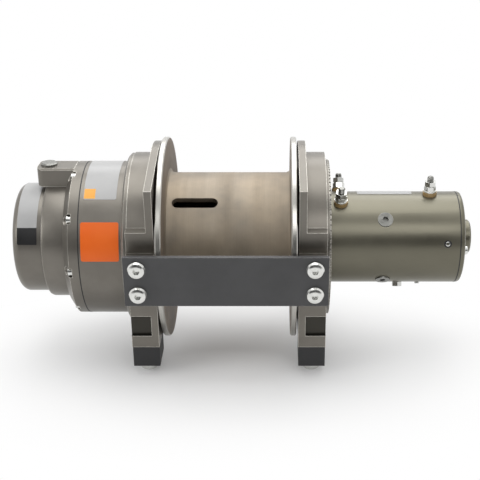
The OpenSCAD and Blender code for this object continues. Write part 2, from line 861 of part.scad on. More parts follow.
module planet_pins(stage) {
    l = plates[stage] + 2 * face_gap + faces[stage];
    color(steel)
        for (a = planet_angles)
            along_x(plate_x[stage] - l) polar(planet_orbit, a) {
                cylinder(h = l, r = planet_pin_d / 2);
                translate([0, 0, -pin_head_t]) cylinder(h = pin_head_t, r = pin_head_r);
            }
}

module first_planet_pins() {
    planet_pins(2);
}

module second_planet_pins() {
    planet_pins(1);
}

module output_planet_pins() {
    planet_pins(0);
}

module planet(stage, place) {
    color(steel) along_x(plate_x[stage] - plates[stage] - face_gap - faces[stage])
        polar(planet_orbit, planet_angles[place])
            rotate(180 / planet_teeth - planet_angles[place]) difference() {
                spur_gear(planet_teeth, faces[stage]);
                translate([0, 0, -cut]) cylinder(h = faces[stage] + 2 * cut, r = planet_pin_d / 2 + running);
            }
}

brake_bore_r = 16;
friction_hub_r = 13;
module reaction_plate() {
    color(steel) ring(reaction_x, reaction_t, ring_root_r, brake_bore_r);
}

module friction_disc() {
    color(black) along_x() difference() {
        union() {
            translate([0, 0, friction_x]) cylinder(h = friction_t, r = cover_in_r - 8);
            translate([0, 0, pressure_x]) cylinder(h = pressure_t + cut, r = friction_hub_r);
        }
        translate([0, 0, pressure_x - cut]) hex_bar(pressure_t + friction_t + 2 * cut, shaft_af + 2 * running);
    }
}

module pressure_plate() {
    color(steel) ring(pressure_x, pressure_t, cover_in_r - 0.5, brake_bore_r);
}

module brake_magnet() {
    color(copper) ring(cover_wall_x, magnet_in_x - cover_wall_x, cover_in_r, brake_bore_r + 4);
}

module motor_coupling() {
    color(steel) along_x(coupling_x - coupling_l) difference() {
        cylinder(h = coupling_l, r = shaft_af + 1);
        translate([0, 0, -cut]) hex_bar(coupling_l + 2 * cut, shaft_af + 2 * running);
    }
}

module adapter_plate() {
    bolt_r = adapter_screw_d / 2 + bolt_clear;
    sink = adapter_screw_d / 2;
    edge = 2;
    color(gunmetal) difference() {
        union() {
            along_x(support_out) rotate_extrude() polygon([
                [0, 0], [adapter_d / 2, 0], [adapter_d / 2, adapter_t - edge],
                [adapter_d / 2 - edge, adapter_t], [0, adapter_t],
            ]);
            along_x(support_out - spigot_l) cylinder(h = spigot_l + cut, r = spigot_r);
        }
        along_x(support_out - spigot_l - cut) cylinder(h = spigot_l + adapter_t + 2 * cut, r = shaft_af + 3);
        for (k = [0 : adapter_screws_n - 1])
            along_x(support_out - cut) polar(adapter_screw_ring, 30 + k * 360 / adapter_screws_n) {
                cylinder(h = adapter_t + 2 * cut, r = bolt_r);
                translate([0, 0, adapter_t + cut - sink])
                    cylinder(h = sink + cut, r1 = bolt_r, r2 = bolt_r + sink + cut);
            }
    }
}

// Countersunk, with their heads flush in the plate
module adapter_screws() {
    d = adapter_screw_d;
    l = adapter_t + adapter_thread_l - 1;
    color(steel)
        for (k = [0 : adapter_screws_n - 1])
            along_x(adapter_out) polar(adapter_screw_ring, 30 + k * 360 / adapter_screws_n) difference() {
                rotate_extrude() polygon([[0, -l], [d / 2, -l], [d / 2, -d / 2], [d, 0], [0, 0]]);
                translate([0, 0, -3]) hex_bar(3 + cut, 5);
            }
}

// Stations and angles of what the can carries
front_stud_inset = 14;
rear_stud_inset = 33.7;
front_stud_x = adapter_out + front_stud_inset;
rear_stud_x = can_end - rear_stud_inset;
stud_places = [[front_stud_x, 110], [front_stud_x, 58], [rear_stud_x, 90]];
stud_hole_r = stud_d / 2 + 1.5;
pole_x = armature_x + 4;
pole_l = armature_l - 8;
pole_screw_x = pole_x + pole_l / 2;
pole_screw_d = 10;
poles = [for (k = [0 : 3]) 180 - pole_angle + 90 * k];
module at_studs() {
    for (place = stud_places) along_x(place[0]) rotate(place[1]) rotate([0, 90, 0]) children();
}

module motor_can() {
    color(gunmetal) difference() {
        ring(adapter_out, motor_l, motor_r, can_in_r);
        at_studs() translate([0, 0, can_in_r - 3]) cylinder(h = motor_wall + 6, r = stud_hole_r);
        for (a = poles)
            along_x(pole_screw_x) rotate(a) rotate([0, 90, 0]) translate([0, 0, can_in_r - 3]) {
                cylinder(h = motor_wall + 6, r = pole_screw_d / 2 + bolt_clear);
                translate([0, 0, 3 + motor_wall - 2]) cylinder(h = 6, r = pole_head_r);
            }
    }
}
pole_head_r = 9.5;

module motor_end_cap() {
    edge = 3;
    color(gunmetal) difference() {
        along_x(can_end) rotate_extrude() polygon([
            [motor_bush_r, -4], [can_in_r, -4], [can_in_r, 0], [motor_r, 0], [motor_r, end_cap_t - edge],
            [motor_r - 1, end_cap_t - 1], [motor_r - edge, end_cap_t], [end_boss_d / 2, end_cap_t],
            [end_boss_d / 2, end_cap_t + end_boss_l - 2], [end_boss_d / 2 - 2, end_cap_t + end_boss_l],
            [0, end_cap_t + end_boss_l], [0, end_cap_t + end_boss_l - 3],
            [motor_bush_r, end_cap_t + end_boss_l - 3],
        ]);
    }
}

module bush(x, l) {
    ring(x, l, motor_bush_r, motor_journal_r + running);
}

drive_bush_l = spigot_l + adapter_t;
module shaft_bushings() {
    color(bronze) {
        ring(support_out - spigot_l, drive_bush_l, shaft_af + 3, motor_journal_r + running);
        bush(can_end - 4, end_cap_t + end_boss_l + 1);
        ring(body_out_x, cover_wall, shaft_bush_r, shaft_af / 2 - 0.5 + running);
    }
}

module motor_shaft() {
    right = can_end + end_cap_t + end_boss_l - 4;
    color(steel) {
        along_x(support_out - spigot_l) cylinder(h = right - support_out + spigot_l, r = motor_journal_r);
        along_x(shaft_joint_x + 0.5) hex_bar(support_out - spigot_l - shaft_joint_x, shaft_af);
    }
}

module armature_core() {
    slot_d = 12;
    color(steel) along_x(armature_x) difference() {
        cylinder(h = armature_l, r = armature_r);
        translate([0, 0, -cut]) cylinder(h = armature_l + 2 * cut, r = motor_journal_r);
        for (k = [0 : armature_slots - 1])
            polar(armature_r - slot_d, k * 360 / armature_slots)
                translate([0, -2, -cut]) cube([slot_d + cut, 4, armature_l + 2 * cut]);
    }
}

module commutator() {
    color(copper) along_x(commutator_x) difference() {
        cylinder(h = commutator_l, r = commutator_d / 2);
        translate([0, 0, -cut]) cylinder(h = commutator_l + 2 * cut, r = motor_journal_r);
        for (k = [0 : 23])
            polar(commutator_d / 2 - 1.5, k * 15)
                translate([0, -0.4, -cut]) cube([3, 0.8, commutator_l + 2 * cut]);
    }
}

// A slice of a ring, centred on angle zero
module sector(outer, inner, half_angle) {
    far = 2 * outer * [cos(half_angle), sin(half_angle)];
    difference() {
        intersection() {
            circle(r = outer);
            polygon([[0, 0], [far[0], -far[1]], far]);
        }
        circle(r = inner);
    }
}

pole_shoe_t = 4;
pole_thread_l = 10;
module pole_shoes() {
    color(steel)
        for (a = poles)
            along_x(pole_x) rotate(a) difference() {
                union() {
                    linear_extrude(pole_l) sector(pole_in_r + pole_shoe_t, pole_in_r, 32);
                    linear_extrude(pole_l) sector(can_in_r, pole_in_r + pole_shoe_t - 0.5, 16);
                }
                translate([can_in_r - pole_thread_l, 0, pole_l / 2])
                    rotate([0, 90, 0]) cylinder(h = pole_thread_l + cut, r = pole_screw_d / 2);
            }
}

module field_coils() {
    overhang = 9;
    color(copper)
        for (a = poles)
            along_x(pole_x - overhang) rotate(a) difference() {
                linear_extrude(pole_l + 2 * overhang) sector(can_in_r - 1, pole_in_r + pole_shoe_t + 0.5, 36);
                translate([0, 0, overhang - 0.5]) linear_extrude(pole_l + 1) sector(motor_r, pole_in_r, 16.7);
            }
}

module pole_screws() {
    head_t = 3;
    socket_deep = 5;
    color(steel)
        for (a = poles)
            along_x(pole_screw_x) rotate(a) rotate([0, 90, 0]) difference() {
                union() {
                    translate([0, 0, can_in_r - pole_thread_l + 1])
                        cylinder(h = motor_wall - 2 + pole_thread_l - 1, r = pole_screw_d / 2);
                    translate([0, 0, motor_r - 2]) cylinder(h = head_t, r = pole_head_r - 0.3);
                }
                translate([0, 0, motor_r - 2 + head_t - socket_deep]) hex_bar(socket_deep + cut, 7);
            }
}

// Four brushes round the commutator, at the angle of the gaps between the poles
brush_w = 9;
brush_l = 14;
brush_box_wall = 2;
brush_x = commutator_x + 4;
brush_deep = commutator_l - 4;
module at_brushes() {
    for (k = [0 : 3])
        along_x(brush_x) rotate(poles[0] + 45 + 90 * k)
            translate([commutator_d / 2 + face_gap, -brush_w / 2, 0]) children();
}

module brushes() {
    color(black) at_brushes() cube([brush_l, brush_w, brush_deep]);
}

// Insulating ring with a box round each brush
module brush_ring() {
    ring_t = 5;
    box_gap = 3;
    color(bronze) difference() {
        union() {
            ring(brush_x + brush_deep, ring_t, can_in_r, commutator_d / 2 + box_gap);
            at_brushes() translate([box_gap, -brush_box_wall, 0])
                cube([brush_l + 6, brush_w + 2 * brush_box_wall, brush_deep + cut]);
        }
        at_brushes() translate([-cut, 0, -cut]) cube([brush_l + 4 + cut, brush_w, brush_deep + 2 * cut]);
    }
}

// Above its insulator a stud carries a washer, a nut, a lock washer and a second nut
insulator_h = 4;
washer_t = 0.2 * stud_d;
nut_h = 0.7 * stud_d;
lock_t = 0.1 * stud_d;
nuts_top = insulator_h + washer_t + 2 * nut_h + lock_t;
pilot_r = stud_d / 2 - 0.4;
pilot_gap = 0.3;
tip = 1;
module terminal_studs() {
    root = can_in_r - 4;
    shank = motor_r + nuts_top + pilot_gap;
    top = motor_r + stud_h;
    color(steel) at_studs() {
        translate([0, 0, root]) cylinder(h = shank - root, r = stud_d / 2);
        translate([0, 0, shank]) cylinder(h = top - tip - shank, r = pilot_r);
        translate([0, 0, top - tip])
            rotate_extrude() polygon([[0, 0], [pilot_r, 0], [pilot_r - tip, tip], [0, tip]]);
        translate([0, 0, root - 3]) cylinder(h = 3, r = stud_d);
    }
}

// Stepped ring that keeps a stud clear of the can
module terminal_insulators() {
    collar_r = stud_d + 0.8;
    color(bronze) difference() {
        union() {
            at_studs() translate([0, 0, can_in_r - 1]) cylinder(h = motor_wall + 1, r = stud_hole_r);
            difference() {
                at_studs() translate([0, 0, motor_r - 1]) cylinder(h = insulator_h + 1, r = collar_r);
                along_x(adapter_out) cylinder(h = motor_l, r = motor_r);
            }
        }
        at_studs() translate([0, 0, can_in_r - 2]) cylinder(h = motor_wall + insulator_h + 3, r = stud_d / 2);
    }
}

module terminal_nuts() {
    across = 1.6 * stud_d;
    color(steel) at_studs() translate([0, 0, motor_r + insulator_h]) difference() {
        union() {
            cylinder(h = washer_t, r = stud_d);
            translate([0, 0, washer_t]) hex_bar(nut_h, across);
            translate([0, 0, washer_t + nut_h]) cylinder(h = lock_t, r = 0.45 * across);
            translate([0, 0, washer_t + nut_h + lock_t]) rotate(20) hex_bar(nut_h, across);
        }
        translate([0, 0, -cut]) cylinder(h = nuts_top, r = stud_d / 2);
    }
}

module first_planet_a() {
    planet(2, 0);
}

module first_planet_b() {
    planet(2, 1);
}

module first_planet_c() {
    planet(2, 2);
}

module second_planet_a() {
    planet(1, 0);
}

module second_planet_b() {
    planet(1, 1);
}

module second_planet_c() {
    planet(1, 2);
}

module output_planet_a() {
    planet(0, 0);
}

module output_planet_b() {
    planet(0, 1);
}

module output_planet_c() {
    planet(0, 2);
}

drum_barrel();
gear_side_flange();
motor_side_flange();
drum_bushings();
drum_seals();
gear_side_support();
motor_side_support();
front_tie_plate();
rear_tie_plate();
tie_plate_screws();
foot_pads();
mounting_bolts();
gear_housing();
ring_gear();
gear_cover();
cover_screws();
end_cap();
end_cap_screws();
filler_block();
filler_plug();
drive_shaft();
input_sun_gear();
second_sun_gear();
output_sun_gear();
first_carrier();
second_carrier();
output_carrier();
first_planet_pins();
second_planet_pins();
output_planet_pins();
first_planet_a();
first_planet_b();
first_planet_c();
second_planet_a();
second_planet_b();
second_planet_c();
output_planet_a();
output_planet_b();
output_planet_c();
reaction_plate();
friction_disc();
pressure_plate();
brake_magnet();
motor_coupling();
adapter_plate();
adapter_screws();
motor_can();
motor_end_cap();
shaft_bushings();
motor_shaft();
armature_core();
commutator();
pole_shoes();
field_coils();
pole_screws();
brush_ring();
brushes();
terminal_studs();
terminal_insulators();
terminal_nuts();
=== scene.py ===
# %% [markdown]
# # An electric hoist, dressed in Blender
# This script takes the hoist that was made as solids in CAD and gives it the finish of the real one:
# satin paint on castings, turned steel on the drum, bright zinc on the screws. It also adds what is too
# small or too thin for the solids, such as stickers, threads and the fine teeth round the motor plate.
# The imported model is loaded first. It is a fixed frame: no solid is moved and no mesh of it is changed,
# so everything below either gives a solid a material and modifiers or makes a new piece beside it.

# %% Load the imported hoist
import math

import bmesh
import bpy
from mathutils import Matrix, Vector


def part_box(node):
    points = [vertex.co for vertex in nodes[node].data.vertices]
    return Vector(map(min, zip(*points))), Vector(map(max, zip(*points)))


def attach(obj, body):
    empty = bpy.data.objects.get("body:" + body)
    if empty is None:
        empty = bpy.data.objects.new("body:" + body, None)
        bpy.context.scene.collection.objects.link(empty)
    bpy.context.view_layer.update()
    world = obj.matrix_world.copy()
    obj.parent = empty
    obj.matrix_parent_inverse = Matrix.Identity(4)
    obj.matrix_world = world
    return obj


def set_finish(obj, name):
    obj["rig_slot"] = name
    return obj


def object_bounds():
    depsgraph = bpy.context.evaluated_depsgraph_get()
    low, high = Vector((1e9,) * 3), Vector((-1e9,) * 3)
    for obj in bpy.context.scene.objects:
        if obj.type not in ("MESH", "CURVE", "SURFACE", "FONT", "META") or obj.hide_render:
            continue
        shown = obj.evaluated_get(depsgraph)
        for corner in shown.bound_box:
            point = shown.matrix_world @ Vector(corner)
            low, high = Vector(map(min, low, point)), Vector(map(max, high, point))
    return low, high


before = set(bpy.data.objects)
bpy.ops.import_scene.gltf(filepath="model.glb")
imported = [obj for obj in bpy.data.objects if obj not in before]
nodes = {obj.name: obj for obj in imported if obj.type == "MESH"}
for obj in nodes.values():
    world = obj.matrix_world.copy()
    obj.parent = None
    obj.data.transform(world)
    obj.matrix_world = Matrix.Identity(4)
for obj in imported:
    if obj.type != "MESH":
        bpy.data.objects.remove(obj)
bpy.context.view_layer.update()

# %% [markdown]
# ## Where things are
# The shaft runs along X. Many pieces are round about it, so a helper turns "along the shaft, angle and
# radius" into a place in the frame. Angles are measured from the front (-Y) upwards over the top, as
# someone facing the hoist would. Radii and starting places come from the boxes of the solids, and a new
# piece is placed by its distance from them. Every place could be typed in again here, but then it could
# disagree with the CAD.

# %% Stations along the shaft
MM = 0.001
TAU = 2 * math.pi
can_low, can_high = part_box("motor_can")
drum_low, drum_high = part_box("gear_side_flange")
AXIS_Z = (drum_low.z + drum_high.z) / 2
CAN_R = (can_high.y - can_low.y) / 2
CAN_END = can_high.x
FLANGE_R = (drum_high.y - drum_low.y) / 2


def radius_of(name):
    """Half the depth of a solid that is round about the shaft."""
    low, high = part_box(name)
    return (high.y - low.y) / 2


def along(name, start, end):
    """Two stations in millimetres, counted from the gearbox end of a solid."""
    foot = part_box(name)[0].x / MM
    return foot + start, foot + end


HOUSING_R = radius_of("gear_housing")
CAP_R = radius_of("end_cap")
PLATE_R = radius_of("adapter_plate")
print("shaft height", AXIS_Z, "radii of can, housing, cap and plate", CAN_R, HOUSING_R, CAP_R, PLATE_R)


def shaft_frame(x, angle, radius):
    """Matrix of a place at radius from the shaft: local Z points away from the shaft, local X along it."""
    a = math.radians(angle)
    out = Vector((0, -math.cos(a), math.sin(a)))
    forward = Vector((1, 0, 0))
    side = out.cross(forward)
    matrix = Matrix((forward, side, out)).transposed().to_4x4()
    matrix.translation = Vector((x, 0, AXIS_Z)) + out * radius
    return matrix


# %% [markdown]
# ## The camera
# The photograph was taken from about 1.3 m, 24 degrees above the shaft and a little right of the middle
# of the drum. The picture is a piece cut out of a wider view, so the middle of the lens is not in the
# middle of the picture. Turning the camera would move the hoist in the picture too, but it would also
# change how the upright edges lean. Shift moves the picture over the lens and leaves their lean alone.

# %% Camera
CAMERA_DISTANCE = 1.3
CAMERA_ELEVATION = math.radians(24.1)
CAMERA_PITCH = math.radians(26.3)
CAMERA_X = 57.25 * MM
PICTURE = 480
FOCAL_PIXELS = 1028
LENS_MIDDLE = (276.1, 276.0)
SENSOR = 36.0

camera_data = bpy.data.cameras.new("camera")
camera_data.sensor_width = SENSOR
camera_data.lens = SENSOR * FOCAL_PIXELS / PICTURE
camera_data.shift_x = 0.5 - LENS_MIDDLE[0] / PICTURE
camera_data.shift_y = LENS_MIDDLE[1] / PICTURE - 0.5
camera = bpy.data.objects.new("camera", camera_data)
bpy.context.scene.collection.objects.link(camera)
camera.location = (CAMERA_X, -CAMERA_DISTANCE * math.cos(CAMERA_ELEVATION),
                   AXIS_Z + CAMERA_DISTANCE * math.sin(CAMERA_ELEVATION))
camera.rotation_euler = (math.pi / 2 - CAMERA_PITCH, 0, 0)
bpy.context.scene.camera = camera
bpy.context.scene.view_settings.view_transform = "Standard"
print("camera at", tuple(round(c, 3) for c in camera.location), "lens", round(camera_data.lens, 1), "mm")

# %% [markdown]
# ## Node groups that the finishes share
# Paint, steel and rubber all need fine grain, broad patches and brighter edges, partly worn by handling
# and partly a painted highlight. Each of these effects is a node group that is built once, and every
# material places it with its own values. Copies of the same nodes in each material would look the same,
# but a change would have to be made in all of them.

# %% Helper for node groups
def new_group(name, inputs, outputs):
    """Shader node group with named sockets. Returns the group, its nodes, its links and the two end nodes."""
    group = bpy.data.node_groups.new(name, "ShaderNodeTree")
    for label, kind, value in inputs:
        socket = group.interface.new_socket(label, in_out="INPUT", socket_type=kind)
        if value is not None:
            socket.default_value = value
    for label, kind in outputs:
        group.interface.new_socket(label, in_out="OUTPUT", socket_type=kind)
    start = group.nodes.new("NodeGroupInput")
    end = group.nodes.new("NodeGroupOutput")
    return group, group.nodes, group.links, start, end


def math_node(nodes_, links_, operation, a, b=None, clamp=False):
    """Math node fed by sockets or plain numbers. Returns its output socket."""
    node = nodes_.new("ShaderNodeMath")
    node.operation = operation
    node.use_clamp = clamp
    for place, value in enumerate((a, b)):
        if value is None:
            continue
        if isinstance(value, (int, float)):
            node.inputs[place].default_value = value
        else:
            links_.new(value, node.inputs[place])
    return node.outputs[0]


def noise_node(nodes_, links_, vector, scale, detail=3.0, roughness=0.5):
    """Noise texture whose vector and scale are sockets or plain numbers. Returns its value."""
    node = nodes_.new("ShaderNodeTexNoise")
    node.inputs["Detail"].default_value = detail
    node.inputs["Roughness"].default_value = roughness
    for label, value in (("Vector", vector), ("Scale", scale)):
        if isinstance(value, (int, float)):
            node.inputs[label].default_value = value
        else:
            links_.new(value, node.inputs[label])
    return node.outputs["Fac"]


# %% [markdown]
# ### Grain
# Cast and coated surfaces have a fine grain that catches the light, and broad soft patches a few
# centimetres wide. An image could hold both, but it would have to be unwrapped and would show its pixels.
# Noise on Object coordinates has no seams, and it stays fixed to the piece when it moves.

# %% Grain group
grain_group, gn, gl, g_in, g_out = new_group(
    "Surface grain",
    [("Vector", "NodeSocketVector", None), ("Grain scale", "NodeSocketFloat", 900.0),
     ("Patch scale", "NodeSocketFloat", 22.0)],
    [("Grain", "NodeSocketFloat"), ("Patches", "NodeSocketFloat")])
fine = noise_node(gn, gl, g_in.outputs["Vector"], g_in.outputs["Grain scale"], 2.0)
broad = noise_node(gn, gl, g_in.outputs["Vector"], g_in.outputs["Patch scale"], 4.0, 0.6)
gl.new(fine, g_out.inputs["Grain"])
gl.new(broad, g_out.inputs["Patches"])
print("group", grain_group.name)

# %% [markdown]
# ### Worn edges and painted edge highlights
# Handling polishes corners, and a rounded corner catches the light. So edges are made lighter, partly as
# wear and partly as a painted highlight, and hollow corners are lightened as much as outer ones. They
# could be painted by hand, or found from the curve of the mesh, which needs many fine faces. A Bevel node
# needs none: it gives the normal of a corner as if it were rounded, and where that differs from the true
# normal there is an edge. Noise breaks the line up, as wear does.

# %% Edge wear and painted highlight group
WEAR_AND_HIGHLIGHT_BREAKS = 160.0
edge_wear_and_highlight_group, en, el, e_in, e_out = new_group(
    "Edge wear and painted highlight",
    [("Vector", "NodeSocketVector", None), ("Radius", "NodeSocketFloat", 0.0012),
     ("Strength", "NodeSocketFloat", 6.0)],
    [("Mask", "NodeSocketFloat")])
rounded = en.new("ShaderNodeBevel")
rounded.samples = 4
el.new(e_in.outputs["Radius"], rounded.inputs["Radius"])
true_normal = en.new("ShaderNodeNewGeometry")
agree = en.new("ShaderNodeVectorMath")
agree.operation = "DOT_PRODUCT"
el.new(rounded.outputs["Normal"], agree.inputs[0])
el.new(true_normal.outputs["Normal"], agree.inputs[1])
apart = math_node(en, el, "SUBTRACT", 1.0, agree.outputs["Value"])
broken = noise_node(en, el, e_in.outputs["Vector"], WEAR_AND_HIGHLIGHT_BREAKS, 3.0, 0.7)
strong = math_node(en, el, "MULTIPLY", apart, e_in.outputs["Strength"])
el.new(math_node(en, el, "MULTIPLY", strong, broken, clamp=True), e_out.inputs["Mask"])
print("group", edge_wear_and_highlight_group.name)

# %% [markdown]
# ### Turning marks
# A lathe leaves fine rings. Plain noise would give spots, and a wave texture would give rings that are
# all alike. So the noise reads other numbers in place of X, Y and Z: the distance along the shaft, the
# distance from it, and a little of the angle, which lets the rings fade and return on their way round.
# The group also gives the radius, so that a material can tell the rim of a disc from its face.

# %% Turned steel group
ANGLE_SHARE = 2.5
BAND_SCALE = 0.035
turned_group, tn, tl, t_in, t_out = new_group(
    "Turning marks",
    [("Vector", "NodeSocketVector", None), ("Marks per metre", "NodeSocketFloat", 2600.0)],
    [("Marks", "NodeSocketFloat"), ("Bands", "NodeSocketFloat"), ("Radius", "NodeSocketFloat")])
split = tn.new("ShaderNodeSeparateXYZ")
tl.new(t_in.outputs["Vector"], split.inputs[0])
across = math_node(tn, tl, "POWER", split.outputs["Y"], 2.0)
height = math_node(tn, tl, "SUBTRACT", split.outputs["Z"], AXIS_Z)
upward = math_node(tn, tl, "POWER", height, 2.0)
radius = math_node(tn, tl, "SQRT", math_node(tn, tl, "ADD", across, upward))
turn = math_node(tn, tl, "ARCTAN2", height, split.outputs["Y"])
rings = tn.new("ShaderNodeCombineXYZ")
tl.new(math_node(tn, tl, "MULTIPLY", split.outputs["X"], t_in.outputs["Marks per metre"]), rings.inputs["X"])
tl.new(math_node(tn, tl, "MULTIPLY", radius, t_in.outputs["Marks per metre"]), rings.inputs["Y"])
tl.new(math_node(tn, tl, "MULTIPLY", turn, ANGLE_SHARE), rings.inputs["Z"])
tl.new(noise_node(tn, tl, rings.outputs[0], 1.0, 2.0), t_out.inputs["Marks"])
tl.new(noise_node(tn, tl, rings.outputs[0], BAND_SCALE, 2.0), t_out.inputs["Bands"])
tl.new(radius, t_out.inputs["Radius"])
print("group", turned_group.name)

# %% [markdown]
# ### Shade inside the leg pockets
# In the photograph the pockets over the feet are darker than the faces round them. How deep they are is
# not known. The solids have a shallow relief there, which gets little shade by itself, so a darker colour
# is laid on it. A second material would need its own faces, and the mesh stays as it is. So a box in
# Object coordinates picks the pockets out: from front to back and along the shaft by the distance from
# the middle, and upwards by the height over the pads.

# %% Pocket group
LEG_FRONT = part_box("foot_pads")[1].y
PAD_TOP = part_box("foot_pads")[1].z
LEG_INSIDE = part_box("motor_side_support")[0].x
POCKET_DEPTH = 4.2 * MM
POCKET_FACE = 0.2 * MM
POCKET_WALL = 8 * MM
POCKET_LOW, POCKET_HIGH = 15.4 * MM, 42.1 * MM
pocket_shade_group, pn, pl, p_in, p_out = new_group(
    "Leg pocket shade",
    [("Vector", "NodeSocketVector", None),
     ("From face", "NodeSocketFloat", LEG_FRONT - POCKET_DEPTH),
     ("To face", "NodeSocketFloat", LEG_FRONT - POCKET_FACE),
     ("Low", "NodeSocketFloat", PAD_TOP + POCKET_LOW),
     ("High", "NodeSocketFloat", PAD_TOP + POCKET_HIGH),
     ("From middle", "NodeSocketFloat", LEG_INSIDE + POCKET_WALL)],
    [("Mask", "NodeSocketFloat")])
spot = pn.new("ShaderNodeSeparateXYZ")
pl.new(p_in.outputs["Vector"], spot.inputs[0])
depth = math_node(pn, pl, "ABSOLUTE", spot.outputs["Y"])
sideways = math_node(pn, pl, "ABSOLUTE", spot.outputs["X"])
inside = math_node(pn, pl, "GREATER_THAN", depth, p_in.outputs["From face"])
for value, limit, kind in ((depth, "To face", "LESS_THAN"),
                           (spot.outputs["Z"], "Low", "GREATER_THAN"),
                           (spot.outputs["Z"], "High", "LESS_THAN"),
                           (sideways, "From middle", "GREATER_THAN")):
    step = math_node(pn, pl, kind, value, p_in.outputs[limit])
    inside = math_node(pn, pl, "MULTIPLY", inside, step)
pl.new(inside, p_out.inputs["Mask"])
print("group", pocket_shade_group.name, "front of the legs at", round(LEG_FRONT, 4))

# %% [markdown]
# ## Finishes
# A finish is a Principled shader with its colour, roughness and bump driven by the groups. One function
# makes them all, because on the real hoist they differ by their numbers: how metallic, how rough, how
# coarse the grain. Colours are written as a picture editor shows them and turned into linear light.

# %% Finish builder
def linear(channel):
    """Linear light of one channel, from 0 to 255 as a picture editor shows it."""
    share = channel / 255
    return share / 12.92 if share <= 0.04045 else ((share + 0.055) / 1.055) ** 2.4


def colour(red, green, blue):
    """Linear colour from the numbers that a picture editor shows."""
    return linear(red), linear(green), linear(blue), 1.0


def place_group(material, group, **values):
    """Place a node group in a material and set its values."""
    node = material.node_tree.nodes.new("ShaderNodeGroup")
    node.node_tree = group
    for label, value in values.items():
        node.inputs[label.replace("_", " ")].default_value = value
    return node


def mix_colour(material, factor, a, b):
    """Mix of two colours by a factor, each of them a socket or plain numbers. Returns the result's socket."""
    tree = material.node_tree
    node = tree.nodes.new("ShaderNodeMix")
    node.data_type = "RGBA"
    for socket, value in ((node.inputs["Factor"], factor), (node.inputs["A"], a), (node.inputs["B"], b)):
        if hasattr(value, "is_output"):
            tree.links.new(value, socket)
        else:
            socket.default_value = value
    return node.outputs["Result"]


PATCH_FROM, PATCH_TO = 0.35, 0.65
ROUGH_FROM, ROUGH_TO = 0.3, 0.7
MARK_SHADE = 0.45
RIM_POLISH = 0.3
COAT_ROUGHNESS = 0.25


def finish(name, base, light, metallic=0.0, roughness=0.5, rough_spread=0.12, grain=900.0, patches=22.0,
           bump=0.02, patch_strength=0.5, edge_wear_highlight=None, edge=0.0012, edge_strength=6.0, turned=0.0, marks=2600.0,
           coat=0.0, rim=None, rim_radius=0.0, pocket_shade=None):
    """Material with patches between base and light, grain, marks, and edges lightened by wear and painted
    highlight.

    With rim set, everything further from the shaft than rim_radius is bright bare metal of that colour.
    With pocket_shade set, the leg pockets get that colour as a painted shade. The bump is the height of the
    grain in millimetres.
    """
    material = bpy.data.materials.new(name)
    material.use_nodes = True
    tree = material.node_tree
    shader = tree.nodes["Principled BSDF"]
    shader.inputs["Metallic"].default_value = metallic
    shader.inputs["Coat Weight"].default_value = coat
    shader.inputs["Coat Roughness"].default_value = COAT_ROUGHNESS
    place = tree.nodes.new("ShaderNodeTexCoord").outputs["Object"]
    surface = place_group(material, grain_group, Grain_scale=grain, Patch_scale=patches)
    tree.links.new(place, surface.inputs["Vector"])
    spread = tree.nodes.new("ShaderNodeMapRange")
    spread.inputs["From Min"].default_value = PATCH_FROM
    spread.inputs["From Max"].default_value = PATCH_TO
    spread.inputs["To Max"].default_value = patch_strength
    tree.links.new(surface.outputs["Patches"], spread.inputs["Value"])
    tint = mix_colour(material, spread.outputs["Result"], base, light)
    height = surface.outputs["Grain"]
    rough_from = surface.outputs["Patches"]
    if turned:
        lathe = place_group(material, turned_group, Marks_per_metre=marks)
        tree.links.new(place, lathe.inputs["Vector"])
        height = lathe.outputs["Marks"]
        rough_from = lathe.outputs["Bands"]
        shade = math_node(tree.nodes, tree.links, "MULTIPLY", lathe.outputs["Marks"], turned)
        tint = mix_colour(material, shade, tint, tuple(c * MARK_SHADE for c in base[:3]) + (1,))
    rough = tree.nodes.new("ShaderNodeMapRange")
    rough.inputs["From Min"].default_value = ROUGH_FROM
    rough.inputs["From Max"].default_value = ROUGH_TO
    rough.inputs["To Min"].default_value = roughness - rough_spread / 2
    rough.inputs["To Max"].default_value = roughness + rough_spread / 2
    tree.links.new(rough_from, rough.inputs["Value"])
    tree.links.new(rough.outputs["Result"], shader.inputs["Roughness"])
    if edge_wear_highlight:
        # Edges lightened partly as wear and partly as a painted highlight, hollow corners included.
        edges = place_group(material, edge_wear_and_highlight_group, Radius=edge, Strength=edge_strength)
        tree.links.new(place, edges.inputs["Vector"])
        tint = mix_colour(material, edges.outputs["Mask"], tint, edge_wear_highlight)
    if rim:
        outside = math_node(tree.nodes, tree.links, "GREATER_THAN", lathe.outputs["Radius"], rim_radius)
        tint = mix_colour(material, outside, tint, rim)
        tree.links.new(outside, shader.inputs["Metallic"])
        polished = math_node(tree.nodes, tree.links, "MULTIPLY", outside, RIM_POLISH)
        rough_value = math_node(tree.nodes, tree.links, "SUBTRACT", rough.outputs["Result"], polished)
        tree.links.new(rough_value, shader.inputs["Roughness"])
    # Painted shade: the leg pockets are darkened by a box mask, not by their depth.
    if pocket_shade:
        pocket_shade_mask = place_group(material, pocket_shade_group)
        tree.links.new(place, pocket_shade_mask.inputs["Vector"])
        tint = mix_colour(material, pocket_shade_mask.outputs["Mask"], tint, pocket_shade)
    tree.links.new(tint, shader.inputs["Base Color"])
    relief = tree.nodes.new("ShaderNodeBump")
    relief.inputs["Strength"].default_value = 1.0
    relief.inputs["Distance"].default_value = bump * MM
    tree.links.new(height, relief.inputs["Height"])
    tree.links.new(relief.outputs["Normal"], shader.inputs["Normal"])
    print("finish", name)
    return material
